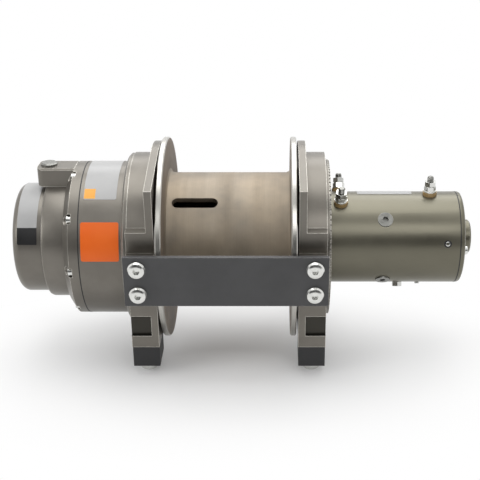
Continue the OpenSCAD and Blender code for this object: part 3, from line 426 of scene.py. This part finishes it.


# %% [markdown]
# ### The paint of the castings
# Supports, housing, cover and cap wear the same gunmetal paint: grey with a little brown, with fine metal
# flakes in it. Flakes could be drawn one by one, but at this distance they only make the paint shine like
# dull metal. So the paint is partly metallic. Its corners are lighter, partly from wear and partly as a
# painted highlight, and its leg pockets are darker, as a painted shade.

# %% Paints
casting_paint = finish(
    "casting_paint", colour(112, 108, 101), colour(130, 126, 119), metallic=0.75, roughness=0.36,
    grain=1400.0, bump=0.02, edge_wear_highlight=colour(232, 229, 220), edge=0.0013, edge_strength=8.0,
    pocket_shade=colour(58, 56, 51))
motor_paint = finish(
    "motor_paint", colour(108, 105, 92), colour(122, 119, 105), metallic=0.8, roughness=0.34,
    grain=1800.0, bump=0.012, patches=12.0, edge_wear_highlight=colour(180, 176, 160), edge=0.0008)
tie_paint = finish(
    "tie_plate_paint", colour(68, 68, 69), colour(84, 84, 85), metallic=0.2, roughness=0.55,
    grain=1500.0, bump=0.03, edge_wear_highlight=colour(190, 188, 184), edge=0.0006, edge_strength=5.0)

# %% [markdown]
# ### Bare and plated metals
# The drum is turned and then only oiled, so it has a brown cast. Its flanges have matt faces and bright
# rims. Screws are zinc plated, which is close to a mirror with a faint haze. Studs and pole screws have
# been handled more, so their plating is duller and darker.

# %% Drum and flanges
RIM_EDGE = 1.4 * MM
drum_steel = finish(
    "drum_steel", colour(138, 129, 116), colour(168, 154, 134), metallic=0.6, roughness=0.55,
    turned=0.25, marks=1700.0, bump=0.006, patches=14.0, rough_spread=0.2, patch_strength=0.9)
flange_steel = finish(
    "flange_steel", colour(110, 98, 86), colour(136, 121, 104), roughness=0.6, turned=0.22,
    marks=2400.0, bump=0.004, patches=14.0, patch_strength=0.9,
    rim=colour(186, 184, 178), rim_radius=FLANGE_R - RIM_EDGE)

# %% Screws, studs and inner metals
machined_steel = finish(
    "machined_steel", colour(150, 150, 150), colour(176, 176, 174), metallic=1.0, roughness=0.3,
    grain=2200.0, bump=0.005, edge_wear_highlight=colour(225, 225, 222), edge=0.0004)
zinc = finish(
    "zinc_plate", colour(214, 214, 210), colour(232, 233, 230), metallic=1.0, roughness=0.2,
    grain=2600.0, patches=120.0, bump=0.004, edge_wear_highlight=colour(245, 245, 242), edge=0.0004)
dull_zinc = finish(
    "dull_zinc", colour(128, 128, 124), colour(160, 160, 155), metallic=1.0, roughness=0.34,
    rough_spread=0.16, grain=2600.0, patches=160.0, bump=0.006, edge_wear_highlight=colour(215, 215, 210), edge=0.0004)
core_steel = finish(
    "core_steel", colour(96, 96, 98), colour(120, 120, 120), metallic=0.9, roughness=0.45,
    turned=0.6, marks=2000.0, bump=0.03)
bronze = finish(
    "bearing_bronze", colour(176, 136, 78), colour(196, 156, 96), metallic=1.0, roughness=0.38,
    grain=1800.0, bump=0.006)
copper = finish(
    "copper_winding", colour(170, 92, 50), colour(196, 112, 62), metallic=0.85, roughness=0.32,
    turned=0.5, marks=900.0, bump=0.15, coat=0.5)

# %% [markdown]
# ### Rubber, plastics and brake lining
# Soft and moulded pieces reflect little. They are told apart by how rough they are and how coarse their
# grain is: rubber pads, moulded insulators, pressed carbon and brake lining. Most of them are inside, so
# they need no marks of their own.

# %% Soft and moulded finishes
rubber = finish(
    "foot_rubber", colour(38, 38, 39), colour(52, 52, 53), roughness=0.62, grain=1200.0, bump=0.05,
    edge_wear_highlight=colour(84, 84, 84), edge=0.0008)
insulator = finish(
    "stud_insulator", colour(158, 132, 84), colour(190, 160, 120), roughness=0.35, bump=0.01, coat=0.3)
carbon = finish("brush_carbon", colour(40, 40, 42), colour(60, 60, 62), roughness=0.5, grain=1600.0)
lining = finish(
    "friction_lining", colour(84, 78, 70), colour(110, 102, 92), roughness=0.75, grain=700.0, bump=0.08)
phenolic = finish("brush_ring_plastic", colour(92, 66, 44), colour(110, 82, 58), roughness=0.45)

# %% [markdown]
# ## Dressing the solids
# Each solid keeps its shape and gets a finish. Its mesh comes as loose triangles, so a small modifier
# first merges their corners and then shades everything smooth except edges sharper than 28 degrees. A
# Bevel modifier rounds those edges by a fraction of a millimetre, as a casting or a machined part has it,
# so they catch the light. The rounding could be cut into the solids, but it would add thousands of faces
# that no one measures.

# %% Smoothing and rounding for a solid
SHARP_ANGLE = math.radians(28)
ROUNDED_ANGLE = math.radians(35)
MERGE_DISTANCE = 2e-6


def smooth_by_angle():
    """Geometry nodes that merge loose triangles and shade smooth up to the sharp angle."""
    group = bpy.data.node_groups.new("Smooth up to an angle", "GeometryNodeTree")
    group.interface.new_socket("Geometry", in_out="INPUT", socket_type="NodeSocketGeometry")
    group.interface.new_socket("Geometry", in_out="OUTPUT", socket_type="NodeSocketGeometry")
    make, link = group.nodes.new, group.links.new
    start, end = make("NodeGroupInput"), make("NodeGroupOutput")
    merge = make("GeometryNodeMergeByDistance")
    merge.inputs["Distance"].default_value = MERGE_DISTANCE
    all_smooth = make("GeometryNodeSetShadeSmooth")
    all_smooth.domain = "FACE"
    edges = make("GeometryNodeSetShadeSmooth")
    edges.domain = "EDGE"
    edges.inputs["Shade Smooth"].default_value = False
    angle = make("GeometryNodeInputMeshEdgeAngle")
    sharp = make("FunctionNodeCompare")
    sharp.data_type = "FLOAT"
    sharp.operation = "GREATER_THAN"
    sharp.inputs[1].default_value = SHARP_ANGLE
    link(angle.outputs["Unsigned Angle"], sharp.inputs[0])
    link(start.outputs[0], merge.inputs["Geometry"])
    link(merge.outputs[0], all_smooth.inputs["Geometry"])
    link(all_smooth.outputs[0], edges.inputs["Geometry"])
    link(sharp.outputs[0], edges.inputs["Selection"])
    link(edges.outputs[0], end.inputs[0])
    return group


smoothing = smooth_by_angle()
print("edges sharper than", round(math.degrees(SHARP_ANGLE)), "degrees stay sharp")


# %% Dressing a solid
def smooth_and_round(piece, bevel):
    """Smooth shading and, where bevel is set, rounded edges of that many millimetres."""
    smooth = piece.modifiers.new("smooth", "NODES")
    smooth.node_group = smoothing
    if bevel:
        rounding = piece.modifiers.new("rounding", "BEVEL")
        rounding.width = bevel * MM
        rounding.segments = 2
        rounding.limit_method = "ANGLE"
        rounding.angle_limit = ROUNDED_ANGLE
        rounding.harden_normals = True


def dress(name, material, slot, bevel=0.0):
    """Give a CAD node its finish, its smooth shading and its rounded edges."""
    node = nodes[name]
    node.data.materials.clear()
    node.data.materials.append(material)
    smooth_and_round(node, bevel)
    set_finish(node, slot)


# %% Castings and motor shells
CASTING_EDGE = 0.9
SCREW_EDGE = 0.25
RUBBER_EDGE = 0.6
INSULATOR_EDGE = 0.3
for part in ("gear_side_support", "motor_side_support", "filler_block"):
    dress(part, casting_paint, "gunmetal_casting", CASTING_EDGE)
for part in ("gear_housing", "gear_cover", "end_cap", "adapter_plate"):
    dress(part, casting_paint, "gunmetal_casting")
for part in ("motor_can", "motor_end_cap"):
    dress(part, motor_paint, "motor_paint")
for part in ("front_tie_plate", "rear_tie_plate"):
    dress(part, tie_paint, "tie_plate_paint")
print("castings and shells painted")

# %% Drum, screws and pads
dress("drum_barrel", drum_steel, "brushed_drum")
for part in ("gear_side_flange", "motor_side_flange"):
    dress(part, flange_steel, "turned_steel")
for part in ("tie_plate_screws", "cover_screws", "end_cap_screws", "adapter_screws", "terminal_nuts",
             "mounting_bolts"):
    dress(part, zinc, "zinc_plate", SCREW_EDGE)
for part in ("pole_screws", "terminal_studs", "filler_plug"):
    dress(part, dull_zinc, "zinc_plate", SCREW_EDGE)
for part in ("foot_pads", "drum_seals"):
    dress(part, rubber, "black_rubber", RUBBER_EDGE)
for part in ("drum_bushings", "shaft_bushings"):
    dress(part, bronze, "bearing_bronze")
dress("terminal_insulators", insulator, "stud_insulator", INSULATOR_EDGE)
print("drum, screws, pads and studs dressed")

# %% Inner parts
for part in ("brake_magnet", "field_coils", "commutator"):
    dress(part, copper, "copper_winding")
for part in ("armature_core", "pole_shoes"):
    dress(part, core_steel, "core_steel")
dress("brushes", carbon, "carbon")
dress("friction_disc", lining, "friction_lining")
dress("brush_ring", phenolic, "brush_ring_plastic")
dressed = {node.name for node in nodes.values() if "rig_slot" in node}
for part in sorted(set(nodes) - dressed):
    dress(part, machined_steel, "machined_steel")
print("dressed", len(nodes), "solids,", len(set(nodes) - dressed), "of them plain machined steel")

# %% [markdown]
# ## Pieces that the solids leave out
# Stickers, gaskets, threads and small screws are made here with bmesh operators. Each new piece rides on
# a body of the hoist, so it moves with it, and names the material slot that its finish belongs to. All of
# them sit on the frame, which is the body that stands still.

# %% Helpers for new pieces
SAME_POINT = 1e-7


def new_piece(name, mesh, material, slot, body="frame", bevel=0.0):
    """Turn a bmesh into a smooth-shaded piece that rides on a body."""
    bmesh.ops.remove_doubles(mesh, verts=mesh.verts, dist=SAME_POINT)
    bmesh.ops.recalc_face_normals(mesh, faces=mesh.faces)
    data = bpy.data.meshes.new(name)
    mesh.to_mesh(data)
    mesh.free()
    data.materials.append(material)
    piece = bpy.data.objects.new(name, data)
    bpy.context.scene.collection.objects.link(piece)
    smooth_and_round(piece, bevel)
    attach(piece, body)
    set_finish(piece, slot)
    print("piece", name, "with", len(data.polygons), "faces")
    return piece


def spin_outline(mesh, outline, place, steps=48):
    """Spin an outline of (radius, height) pairs in millimetres about local Z, and put it at a place.

    Points that an earlier call has placed are tagged, so that only the new ones are moved.
    """
    verts = [mesh.verts.new((r * MM, 0, h * MM)) for r, h in outline]
    edges = [mesh.edges.new(pair) for pair in zip(verts, verts[1:])]
    bmesh.ops.spin(mesh, geom=verts + edges, cent=(0, 0, 0), axis=(0, 0, 1), angle=TAU, steps=steps,
                   use_merge=True)
    bmesh.ops.remove_doubles(mesh, verts=[v for v in mesh.verts if not v.tag], dist=SAME_POINT)
    new = [v for v in mesh.verts if not v.tag]
    bmesh.ops.transform(mesh, matrix=place, verts=new)
    for vert in new:
        vert.tag = True


# %% [markdown]
# ### Stickers
# A sticker is a curved sheet with rounded corners. A flat sheet wrapped on by a modifier would do, but
# its place on the shell is easier to state here directly: a straight edge is spun part of the way round
# the shaft, a bevel on its four corner points rounds them, and solidify gives it the thickness of vinyl.
# The stickers are left blank.

# %% Sticker maker
STICKER_STEP = 3.2


def sticker(name, x_range, angles, radius_mm, material, lift=0.12, corner=2.0, thickness=0.16):
    """Curved sheet between two stations (mm) and two angles above the front (degrees)."""
    mesh = bmesh.new()
    low, high = angles
    sweep = math.radians(high - low)
    start = shaft_frame(0, low, (radius_mm + lift) * MM).translation
    ends = [mesh.verts.new((x * MM, start.y, start.z)) for x in x_range]
    edge = mesh.edges.new(ends)
    steps = max(3, round(sweep * radius_mm / STICKER_STEP))
    bmesh.ops.spin(mesh, geom=ends + [edge], cent=(0, 0, AXIS_Z), axis=(-1, 0, 0), angle=sweep, steps=steps)
    corners = [v for v in mesh.verts if len(v.link_edges) == 2]
    bmesh.ops.bevel(mesh, geom=corners, offset=corner * MM, segments=4, profile=0.5, affect="VERTICES",
                    material=-1)
    bmesh.ops.recalc_face_normals(mesh, faces=mesh.faces)
    mesh.faces.ensure_lookup_table()
    face = mesh.faces[0]
    out = face.calc_center_median() - Vector((0, 0, AXIS_Z))
    out.x = 0
    if face.normal.dot(out) < 0:
        bmesh.ops.reverse_faces(mesh, faces=mesh.faces)
    bmesh.ops.solidify(mesh, geom=mesh.faces, thickness=-thickness * MM)
    return new_piece(name, mesh, material, "gunmetal_casting")


# %% Sticker colours
vinyl_white = finish(
    "sticker_white", colour(168, 168, 168), colour(182, 182, 181), roughness=0.35, grain=1200.0,
    bump=0.004, patches=30.0)
vinyl_orange = finish(
    "sticker_orange", colour(236, 102, 18), colour(242, 114, 26), roughness=0.4, grain=1200.0,
    bump=0.004, patches=20.0)
vinyl_amber = finish(
    "sticker_amber", colour(238, 166, 54), colour(244, 178, 70), roughness=0.4, grain=1200.0, bump=0.004)
vinyl_black = finish(
    "sticker_black", colour(24, 24, 25), colour(32, 32, 33), roughness=0.4, grain=1200.0, bump=0.004)

# %% Stickers on the gearbox and the motor
housing_mm = HOUSING_R / MM
cap_mm = CAP_R / MM
can_mm = CAN_R / MM
cap_label_width = along("end_cap", 7.5, 30.9)
label_top = 118
sticker("housing_label", along("gear_housing", 5.0, 43.9), (51.3, label_top), housing_mm, vinyl_white)
sticker("housing_label_patch", along("gear_housing", 5.6, 18.8), (52, 60.5), housing_mm, vinyl_amber,
        lift=0.3, corner=0.6, thickness=0.06)
sticker("orange_sticker", along("gear_housing", 2.9, 47.9), (6, 34.1), housing_mm, vinyl_orange, corner=2.4)
sticker("orange_sticker_inner", along("gear_housing", 4.2, 46.6), (6.9, 33.2), housing_mm, vinyl_orange,
        lift=0.28, corner=1.8, thickness=0.05)
sticker("cap_label", cap_label_width, (32.8, label_top), cap_mm, vinyl_white, corner=1.0)
sticker("cap_label_end", cap_label_width, (15.5, 32.8), cap_mm, vinyl_black, corner=1.0)
sticker("motor_label", along("motor_can", 35.3, 103.1), (91, 128), can_mm, vinyl_white, corner=2.0)

# %% [markdown]
# ### Seams
# Where shells meet, the real hoist shows thin dark lines: a gasket between housing and cover, and a lip
# where the motor's end cap sits on its can. A dark line in the paint would look flat from the side. Each
# seam is a thin ring of its own that stands a hair above the paint.

# %% Seams
# The same black also serves as painted shade round the recessed screw on the motor.
gasket_and_recess_shade_black = finish("gasket_and_recess_shade_black", colour(26, 26, 27), colour(40, 40, 41), roughness=0.6)
SEAM_DEPTH = 1.0
SEAM_PROUD = 0.14
SEAM_STEPS = 128


def ring_outline(inner, outer, low, high):
    """Closed outline of a ring with a rectangular section."""
    return [(inner, low), (outer, low), (outer, high), (inner, high), (inner, low)]


def seam(name, x_mm, radius_mm, width):
    """Thin dark ring round the shaft at a station."""
    mesh = bmesh.new()
    place = Matrix.Translation((0, 0, AXIS_Z)) @ Matrix.Rotation(math.pi / 2, 4, "Y")
    outline = ring_outline(radius_mm - SEAM_DEPTH, radius_mm + SEAM_PROUD, x_mm - width / 2, x_mm + width / 2)
    spin_outline(mesh, outline, place, SEAM_STEPS)
    return new_piece(name, mesh, gasket_and_recess_shade_black, "black_rubber")


seam("cover_gasket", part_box("gear_housing")[0].x / MM, housing_mm, 1.3)
seam("motor_cap_seam", CAN_END / MM, can_mm, 1.2)

# %% [markdown]
# ### Teeth round the motor plate
# The rim of the plate behind the motor has a row of fine notches on its outer edge. The solid has a plain
# bevel there. Cutting the notches would take a boolean for each. Small blocks in that bevel leave notches
# between them and give the same row. One block is made for each step round the shaft.

# %% Rim teeth
TEETH = 96
TOOTH = Vector((2.1, 3.6, 2.3)) * MM
TOOTH_INSET = 1.15 * MM
TOOTH_SINK = 1.2 * MM
plate_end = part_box("adapter_plate")[1].x
mesh = bmesh.new()
for k in range(TEETH):
    made = bmesh.ops.create_cube(mesh, size=1.0)["verts"]
    spot = shaft_frame(plate_end - TOOTH_INSET, k * 360 / TEETH, PLATE_R - TOOTH_SINK)
    bmesh.ops.scale(mesh, vec=TOOTH, verts=made)
    bmesh.ops.transform(mesh, matrix=spot, verts=made)
new_piece("rim_teeth", mesh, casting_paint, "gunmetal_casting", bevel=0.25)

# %% [markdown]
# ### Small screws on the motor
# Two long bolts hold the end cap. A small screw sits in a recess near it, and two heads show under the
# can. A screw head is a short cylinder with a bevelled top. Its hexagonal socket comes from insetting the
# top face, drawing the inner ring of points to a hexagon and pushing it in.

# %% Screw heads
HEAD_EDGE = 0.16
SOCKET_DEPTH = 0.55
SIXTH = math.pi / 3


def socket_head(mesh, place, head_r, head_h, socket_r):
    """Round head with a hexagonal socket, standing on local z = 0."""
    before = set(mesh.verts)
    made = bmesh.ops.create_cone(mesh, cap_ends=True, segments=36, radius1=head_r * MM,
                                 radius2=head_r * MM, depth=head_h * MM)["verts"]
    bmesh.ops.translate(mesh, vec=(0, 0, head_h * MM / 2), verts=made)
    top = max((f for v in made for f in v.link_faces), key=lambda f: f.calc_center_median().z)
    bmesh.ops.bevel(mesh, geom=list(top.edges), offset=head_r * HEAD_EDGE * MM, segments=2, profile=0.5,
                    affect="EDGES", material=-1)
    fresh = [v for v in mesh.verts if v not in before]
    top = max({f for v in fresh for f in v.link_faces}, key=lambda f: f.calc_center_median().z)
    bmesh.ops.inset_region(mesh, faces=[top], thickness=(head_r * (1 - HEAD_EDGE) - socket_r) * MM)
    for vert in top.verts:
        from_flat = math.atan2(vert.co.y, vert.co.x) % SIXTH - SIXTH / 2
        reach = socket_r * MM * math.cos(SIXTH / 2) / math.cos(from_flat)
        scale_to = reach / max(1e-9, math.hypot(vert.co.x, vert.co.y))
        vert.co.x *= scale_to
        vert.co.y *= scale_to
    pit = bmesh.ops.extrude_discrete_faces(mesh, faces=[top])["faces"]
    bmesh.ops.translate(mesh, vec=(0, 0, -head_h * SOCKET_DEPTH * MM), verts=list(pit[0].verts))
    fresh = [v for v in mesh.verts if v not in before]
    bmesh.ops.transform(mesh, matrix=place, verts=fresh)


# %% Bolts of the motor's end cap
END_CAP_T = 6 * MM
BOLT_CIRCLE_R = 41 * MM
mesh = bmesh.new()
for angle in (0, 180):
    spot = shaft_frame(CAN_END + END_CAP_T, angle, BOLT_CIRCLE_R)
    socket_head(mesh, spot @ Matrix.Rotation(math.pi / 2, 4, "Y"), head_r=5.2, head_h=5.0, socket_r=2.7)
new_piece("through_bolts", mesh, zinc, "zinc_plate")

# %% Recessed screw near the end of the can
SET_SCREW = (CAN_END - 15.8 * MM, 14.8)
SET_SCREW_SINK = 1.2 * MM
RECESS_INSIDE, RECESS_OUTSIDE = 3.0, 4.6
RECESS_PROUD = 0.12
mesh = bmesh.new()
socket_head(mesh, shaft_frame(*SET_SCREW, CAN_R - SET_SCREW_SINK), head_r=2.9, head_h=1.6, socket_r=1.4)
new_piece("end_set_screw", mesh, zinc, "zinc_plate")
# The recess round the small screw is not cut: a black ring round its head is painted shade for its gap.
mesh = bmesh.new()
recess = ring_outline(RECESS_INSIDE, RECESS_OUTSIDE, -SEAM_DEPTH, RECESS_PROUD)
spin_outline(mesh, recess, shaft_frame(*SET_SCREW, CAN_R), 36)
new_piece("set_screw_recess_shade", mesh, gasket_and_recess_shade_black, "black_rubber")

# %% Heads under the can
BOTTOM_ANGLE = -66
DRAIN_BOLT_X = CAN_END - 71.2 * MM
DRAIN_BOLT_R, DRAIN_BOLT_H = 6.6 * MM, 6 * MM
DRAIN_BOLT_PROUD = 2.6 * MM
BRUSH_SCREW_X = CAN_END - 45.7 * MM
BRUSH_SCREW_SINK = 0.4 * MM
mesh = bmesh.new()
made = bmesh.ops.create_cone(mesh, cap_ends=True, segments=6, radius1=DRAIN_BOLT_R, radius2=DRAIN_BOLT_R,
                             depth=DRAIN_BOLT_H)["verts"]
spot = shaft_frame(DRAIN_BOLT_X, BOTTOM_ANGLE, CAN_R + DRAIN_BOLT_PROUD)
bmesh.ops.transform(mesh, matrix=spot, verts=made)
new_piece("drain_bolt", mesh, zinc, "zinc_plate", bevel=0.5)
mesh = bmesh.new()
spot = shaft_frame(BRUSH_SCREW_X, BOTTOM_ANGLE, CAN_R - BRUSH_SCREW_SINK)
socket_head(mesh, spot, head_r=3.2, head_h=2.6, socket_r=1.5)
new_piece("brush_screw", mesh, zinc, "zinc_plate")

# %% [markdown]
# ### Threads on the studs
# The free end of a stud shows its thread above the nuts. A true thread is a helix, but at this size the
# eye only sees its crests. A zigzag outline spun about the stud gives them as closed rings.

# %% Stud threads
THREAD_PITCH = 0.85
THREAD_ROOT, THREAD_CREST = 3.55, 4.0
CREST_FROM, CREST_TO = 0.4, 0.55
THREAD_LOW, THREAD_HIGH = 18.0, 22.9
WASHER_R = 8.0 * MM
nuts_low, nuts_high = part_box("terminal_nuts")
near_support, near_end = nuts_low.x + WASHER_R, nuts_high.x - WASHER_R
STUDS = ((near_support, 70), (near_support, 122), (near_end, 90))
turns = int((THREAD_HIGH - THREAD_LOW) / THREAD_PITCH)
outline = []
for k in range(turns):
    foot = THREAD_LOW + k * THREAD_PITCH
    outline += [(THREAD_ROOT, foot), (THREAD_CREST, foot + THREAD_PITCH * CREST_FROM),
                (THREAD_CREST, foot + THREAD_PITCH * CREST_TO)]
outline.append((THREAD_ROOT, THREAD_LOW + turns * THREAD_PITCH))
mesh = bmesh.new()
for x, angle in STUDS:
    spin_outline(mesh, outline, shaft_frame(x, angle, CAN_R), 32)
new_piece("stud_threads", mesh, dull_zinc, "zinc_plate")

# %% [markdown]
# ## The studio
# The floor and the background are white. The floor is lit by the lamps, so the hoist has a soft shadow.
# Away from the hoist it fades to the same white as the background, so no horizon shows. A brighter lamp
# would whiten the floor too, but it would also bleach the hoist. So the white is a glow that only the
# camera and reflections see, mixed in by the distance from the hoist.

# %% Floor
FLOOR_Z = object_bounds()[0].z
FLOOR_RADIUS = 6.0
mesh = bmesh.new()
bmesh.ops.create_circle(mesh, cap_ends=True, segments=96, radius=FLOOR_RADIUS)
floor_data = bpy.data.meshes.new("floor")
mesh.to_mesh(floor_data)
mesh.free()
floor_data.transform(Matrix.Translation((0, 0, FLOOR_Z)))
floor = bpy.data.objects.new("floor", floor_data)
bpy.context.scene.collection.objects.link(floor)
print("floor at", round(FLOOR_Z, 4))

# %% White of the floor
SHADOW_FORWARD = 0.08
SHADOW_STRETCH = (0.45, 1, 1)
FADE_FROM, FADE_TO = 0.04, 0.21
GLOW_UNDER_HOIST = 0.1
FLOOR_GREY = 0.9
floor_paint = bpy.data.materials.new("floor_white")
floor_paint.use_nodes = True
tree = floor_paint.node_tree
matt = tree.nodes["Principled BSDF"]
matt.inputs["Base Color"].default_value = (FLOOR_GREY, FLOOR_GREY, FLOOR_GREY, 1)
matt.inputs["Roughness"].default_value = 0.9
matt.inputs["Specular IOR Level"].default_value = 0.1
glow = tree.nodes.new("ShaderNodeEmission")
where = tree.nodes.new("ShaderNodeTexCoord").outputs["Object"]
stretch = tree.nodes.new("ShaderNodeVectorMath")
stretch.operation = "MULTIPLY_ADD"
stretch.inputs[1].default_value = SHADOW_STRETCH
stretch.inputs[2].default_value = (0, SHADOW_FORWARD, 0)
tree.links.new(where, stretch.inputs[0])
reach = tree.nodes.new("ShaderNodeVectorMath")
reach.operation = "LENGTH"
tree.links.new(stretch.outputs[0], reach.inputs[0])
fade = tree.nodes.new("ShaderNodeMapRange")
fade.inputs["From Min"].default_value = FADE_FROM
fade.inputs["From Max"].default_value = FADE_TO
fade.inputs["To Min"].default_value = GLOW_UNDER_HOIST
tree.links.new(reach.outputs["Value"], fade.inputs["Value"])
path = tree.nodes.new("ShaderNodeLightPath")
seen = math_node(tree.nodes, tree.links, "MAXIMUM", path.outputs["Is Camera Ray"],
                 path.outputs["Is Glossy Ray"])
seen = math_node(tree.nodes, tree.links, "MAXIMUM", seen, path.outputs["Is Transmission Ray"])
share = math_node(tree.nodes, tree.links, "MULTIPLY", fade.outputs["Result"], seen)
blend = tree.nodes.new("ShaderNodeMixShader")
tree.links.new(share, blend.inputs["Fac"])
tree.links.new(matt.outputs[0], blend.inputs[1])
tree.links.new(glow.outputs[0], blend.inputs[2])
tree.links.new(blend.outputs[0], tree.nodes["Material Output"].inputs["Surface"])
floor_data.materials.append(floor_paint)
print("floor fades to white between", FADE_FROM, "and", FADE_TO, "m")

# %% [markdown]
# ### Light
# A wide soft box hangs above and a little behind. Weaker ones stand in front, at the left and behind, and
# the room itself gives an even grey light. The room is darker behind the camera, which draws the dark
# band along the middle of each round shell. The backdrop itself is plain white from every side.

# %% World
world = bpy.data.worlds.new("studio")
world.use_nodes = True
bpy.context.scene.world = world
wt = world.node_tree
room = wt.nodes["Background"]
direction = wt.nodes.new("ShaderNodeTexCoord").outputs["Generated"]
axes = wt.nodes.new("ShaderNodeSeparateXYZ")
wt.links.new(direction, axes.inputs[0])


def from_front(darkest, brightest, dark_until=-0.85, bright_from=-0.3):
    """Strength that is low behind the camera and rises towards the sides, the top and the backdrop."""
    ramp = wt.nodes.new("ShaderNodeMapRange")
    ramp.inputs["From Min"].default_value = dark_until
    ramp.inputs["From Max"].default_value = bright_from
    ramp.inputs["To Min"].default_value = darkest
    ramp.inputs["To Max"].default_value = brightest
    wt.links.new(axes.outputs["Y"], ramp.inputs["Value"])
    return ramp.outputs["Result"]


room.inputs["Color"].default_value = (1, 1, 1, 1)
wt.links.new(from_front(0.12, 0.6), room.inputs["Strength"])
white = wt.nodes.new("ShaderNodeBackground")
white.inputs["Color"].default_value = (1, 1, 1, 1)
ray = wt.nodes.new("ShaderNodeLightPath")
backdrop = math_node(wt.nodes, wt.links, "MAXIMUM", from_front(0.08, 1.0), ray.outputs["Is Camera Ray"])
wt.links.new(backdrop, white.inputs["Strength"])
chooser = wt.nodes.new("ShaderNodeMixShader")
shown = math_node(wt.nodes, wt.links, "MAXIMUM", ray.outputs["Is Camera Ray"], ray.outputs["Is Glossy Ray"])
shown = math_node(wt.nodes, wt.links, "MAXIMUM", shown, ray.outputs["Is Transmission Ray"])
wt.links.new(shown, chooser.inputs["Fac"])
wt.links.new(room.outputs[0], chooser.inputs[1])
wt.links.new(white.outputs[0], chooser.inputs[2])
wt.links.new(chooser.outputs[0], wt.nodes["World Output"].inputs["Surface"])
print("world", world.name)


# %% Lamps
def soft_box(name, place, size, power):
    """Rectangular lamp that faces the hoist."""
    lamp = bpy.data.lights.new(name, "AREA")
    lamp.shape = "RECTANGLE"
    lamp.size, lamp.size_y = size
    lamp.energy = power
    holder = bpy.data.objects.new(name, lamp)
    bpy.context.scene.collection.objects.link(holder)
    holder.location = place
    holder.rotation_mode = "QUATERNION"
    holder.rotation_quaternion = (Vector((0, 0, AXIS_Z)) - Vector(place)).to_track_quat("-Z", "Y")
    print("lamp", name, power, "W")


soft_box("box_above", (-0.1, 0.35, 1.75), (1.8, 1.3), 17)
soft_box("box_front", (0.3, -1.5, 1.5), (1.2, 0.8), 8)
soft_box("box_left", (-1.6, -0.9, 0.9), (0.8, 1.0), 6)
soft_box("box_behind", (0.2, 1.3, 1.2), (1.6, 0.6), 8)
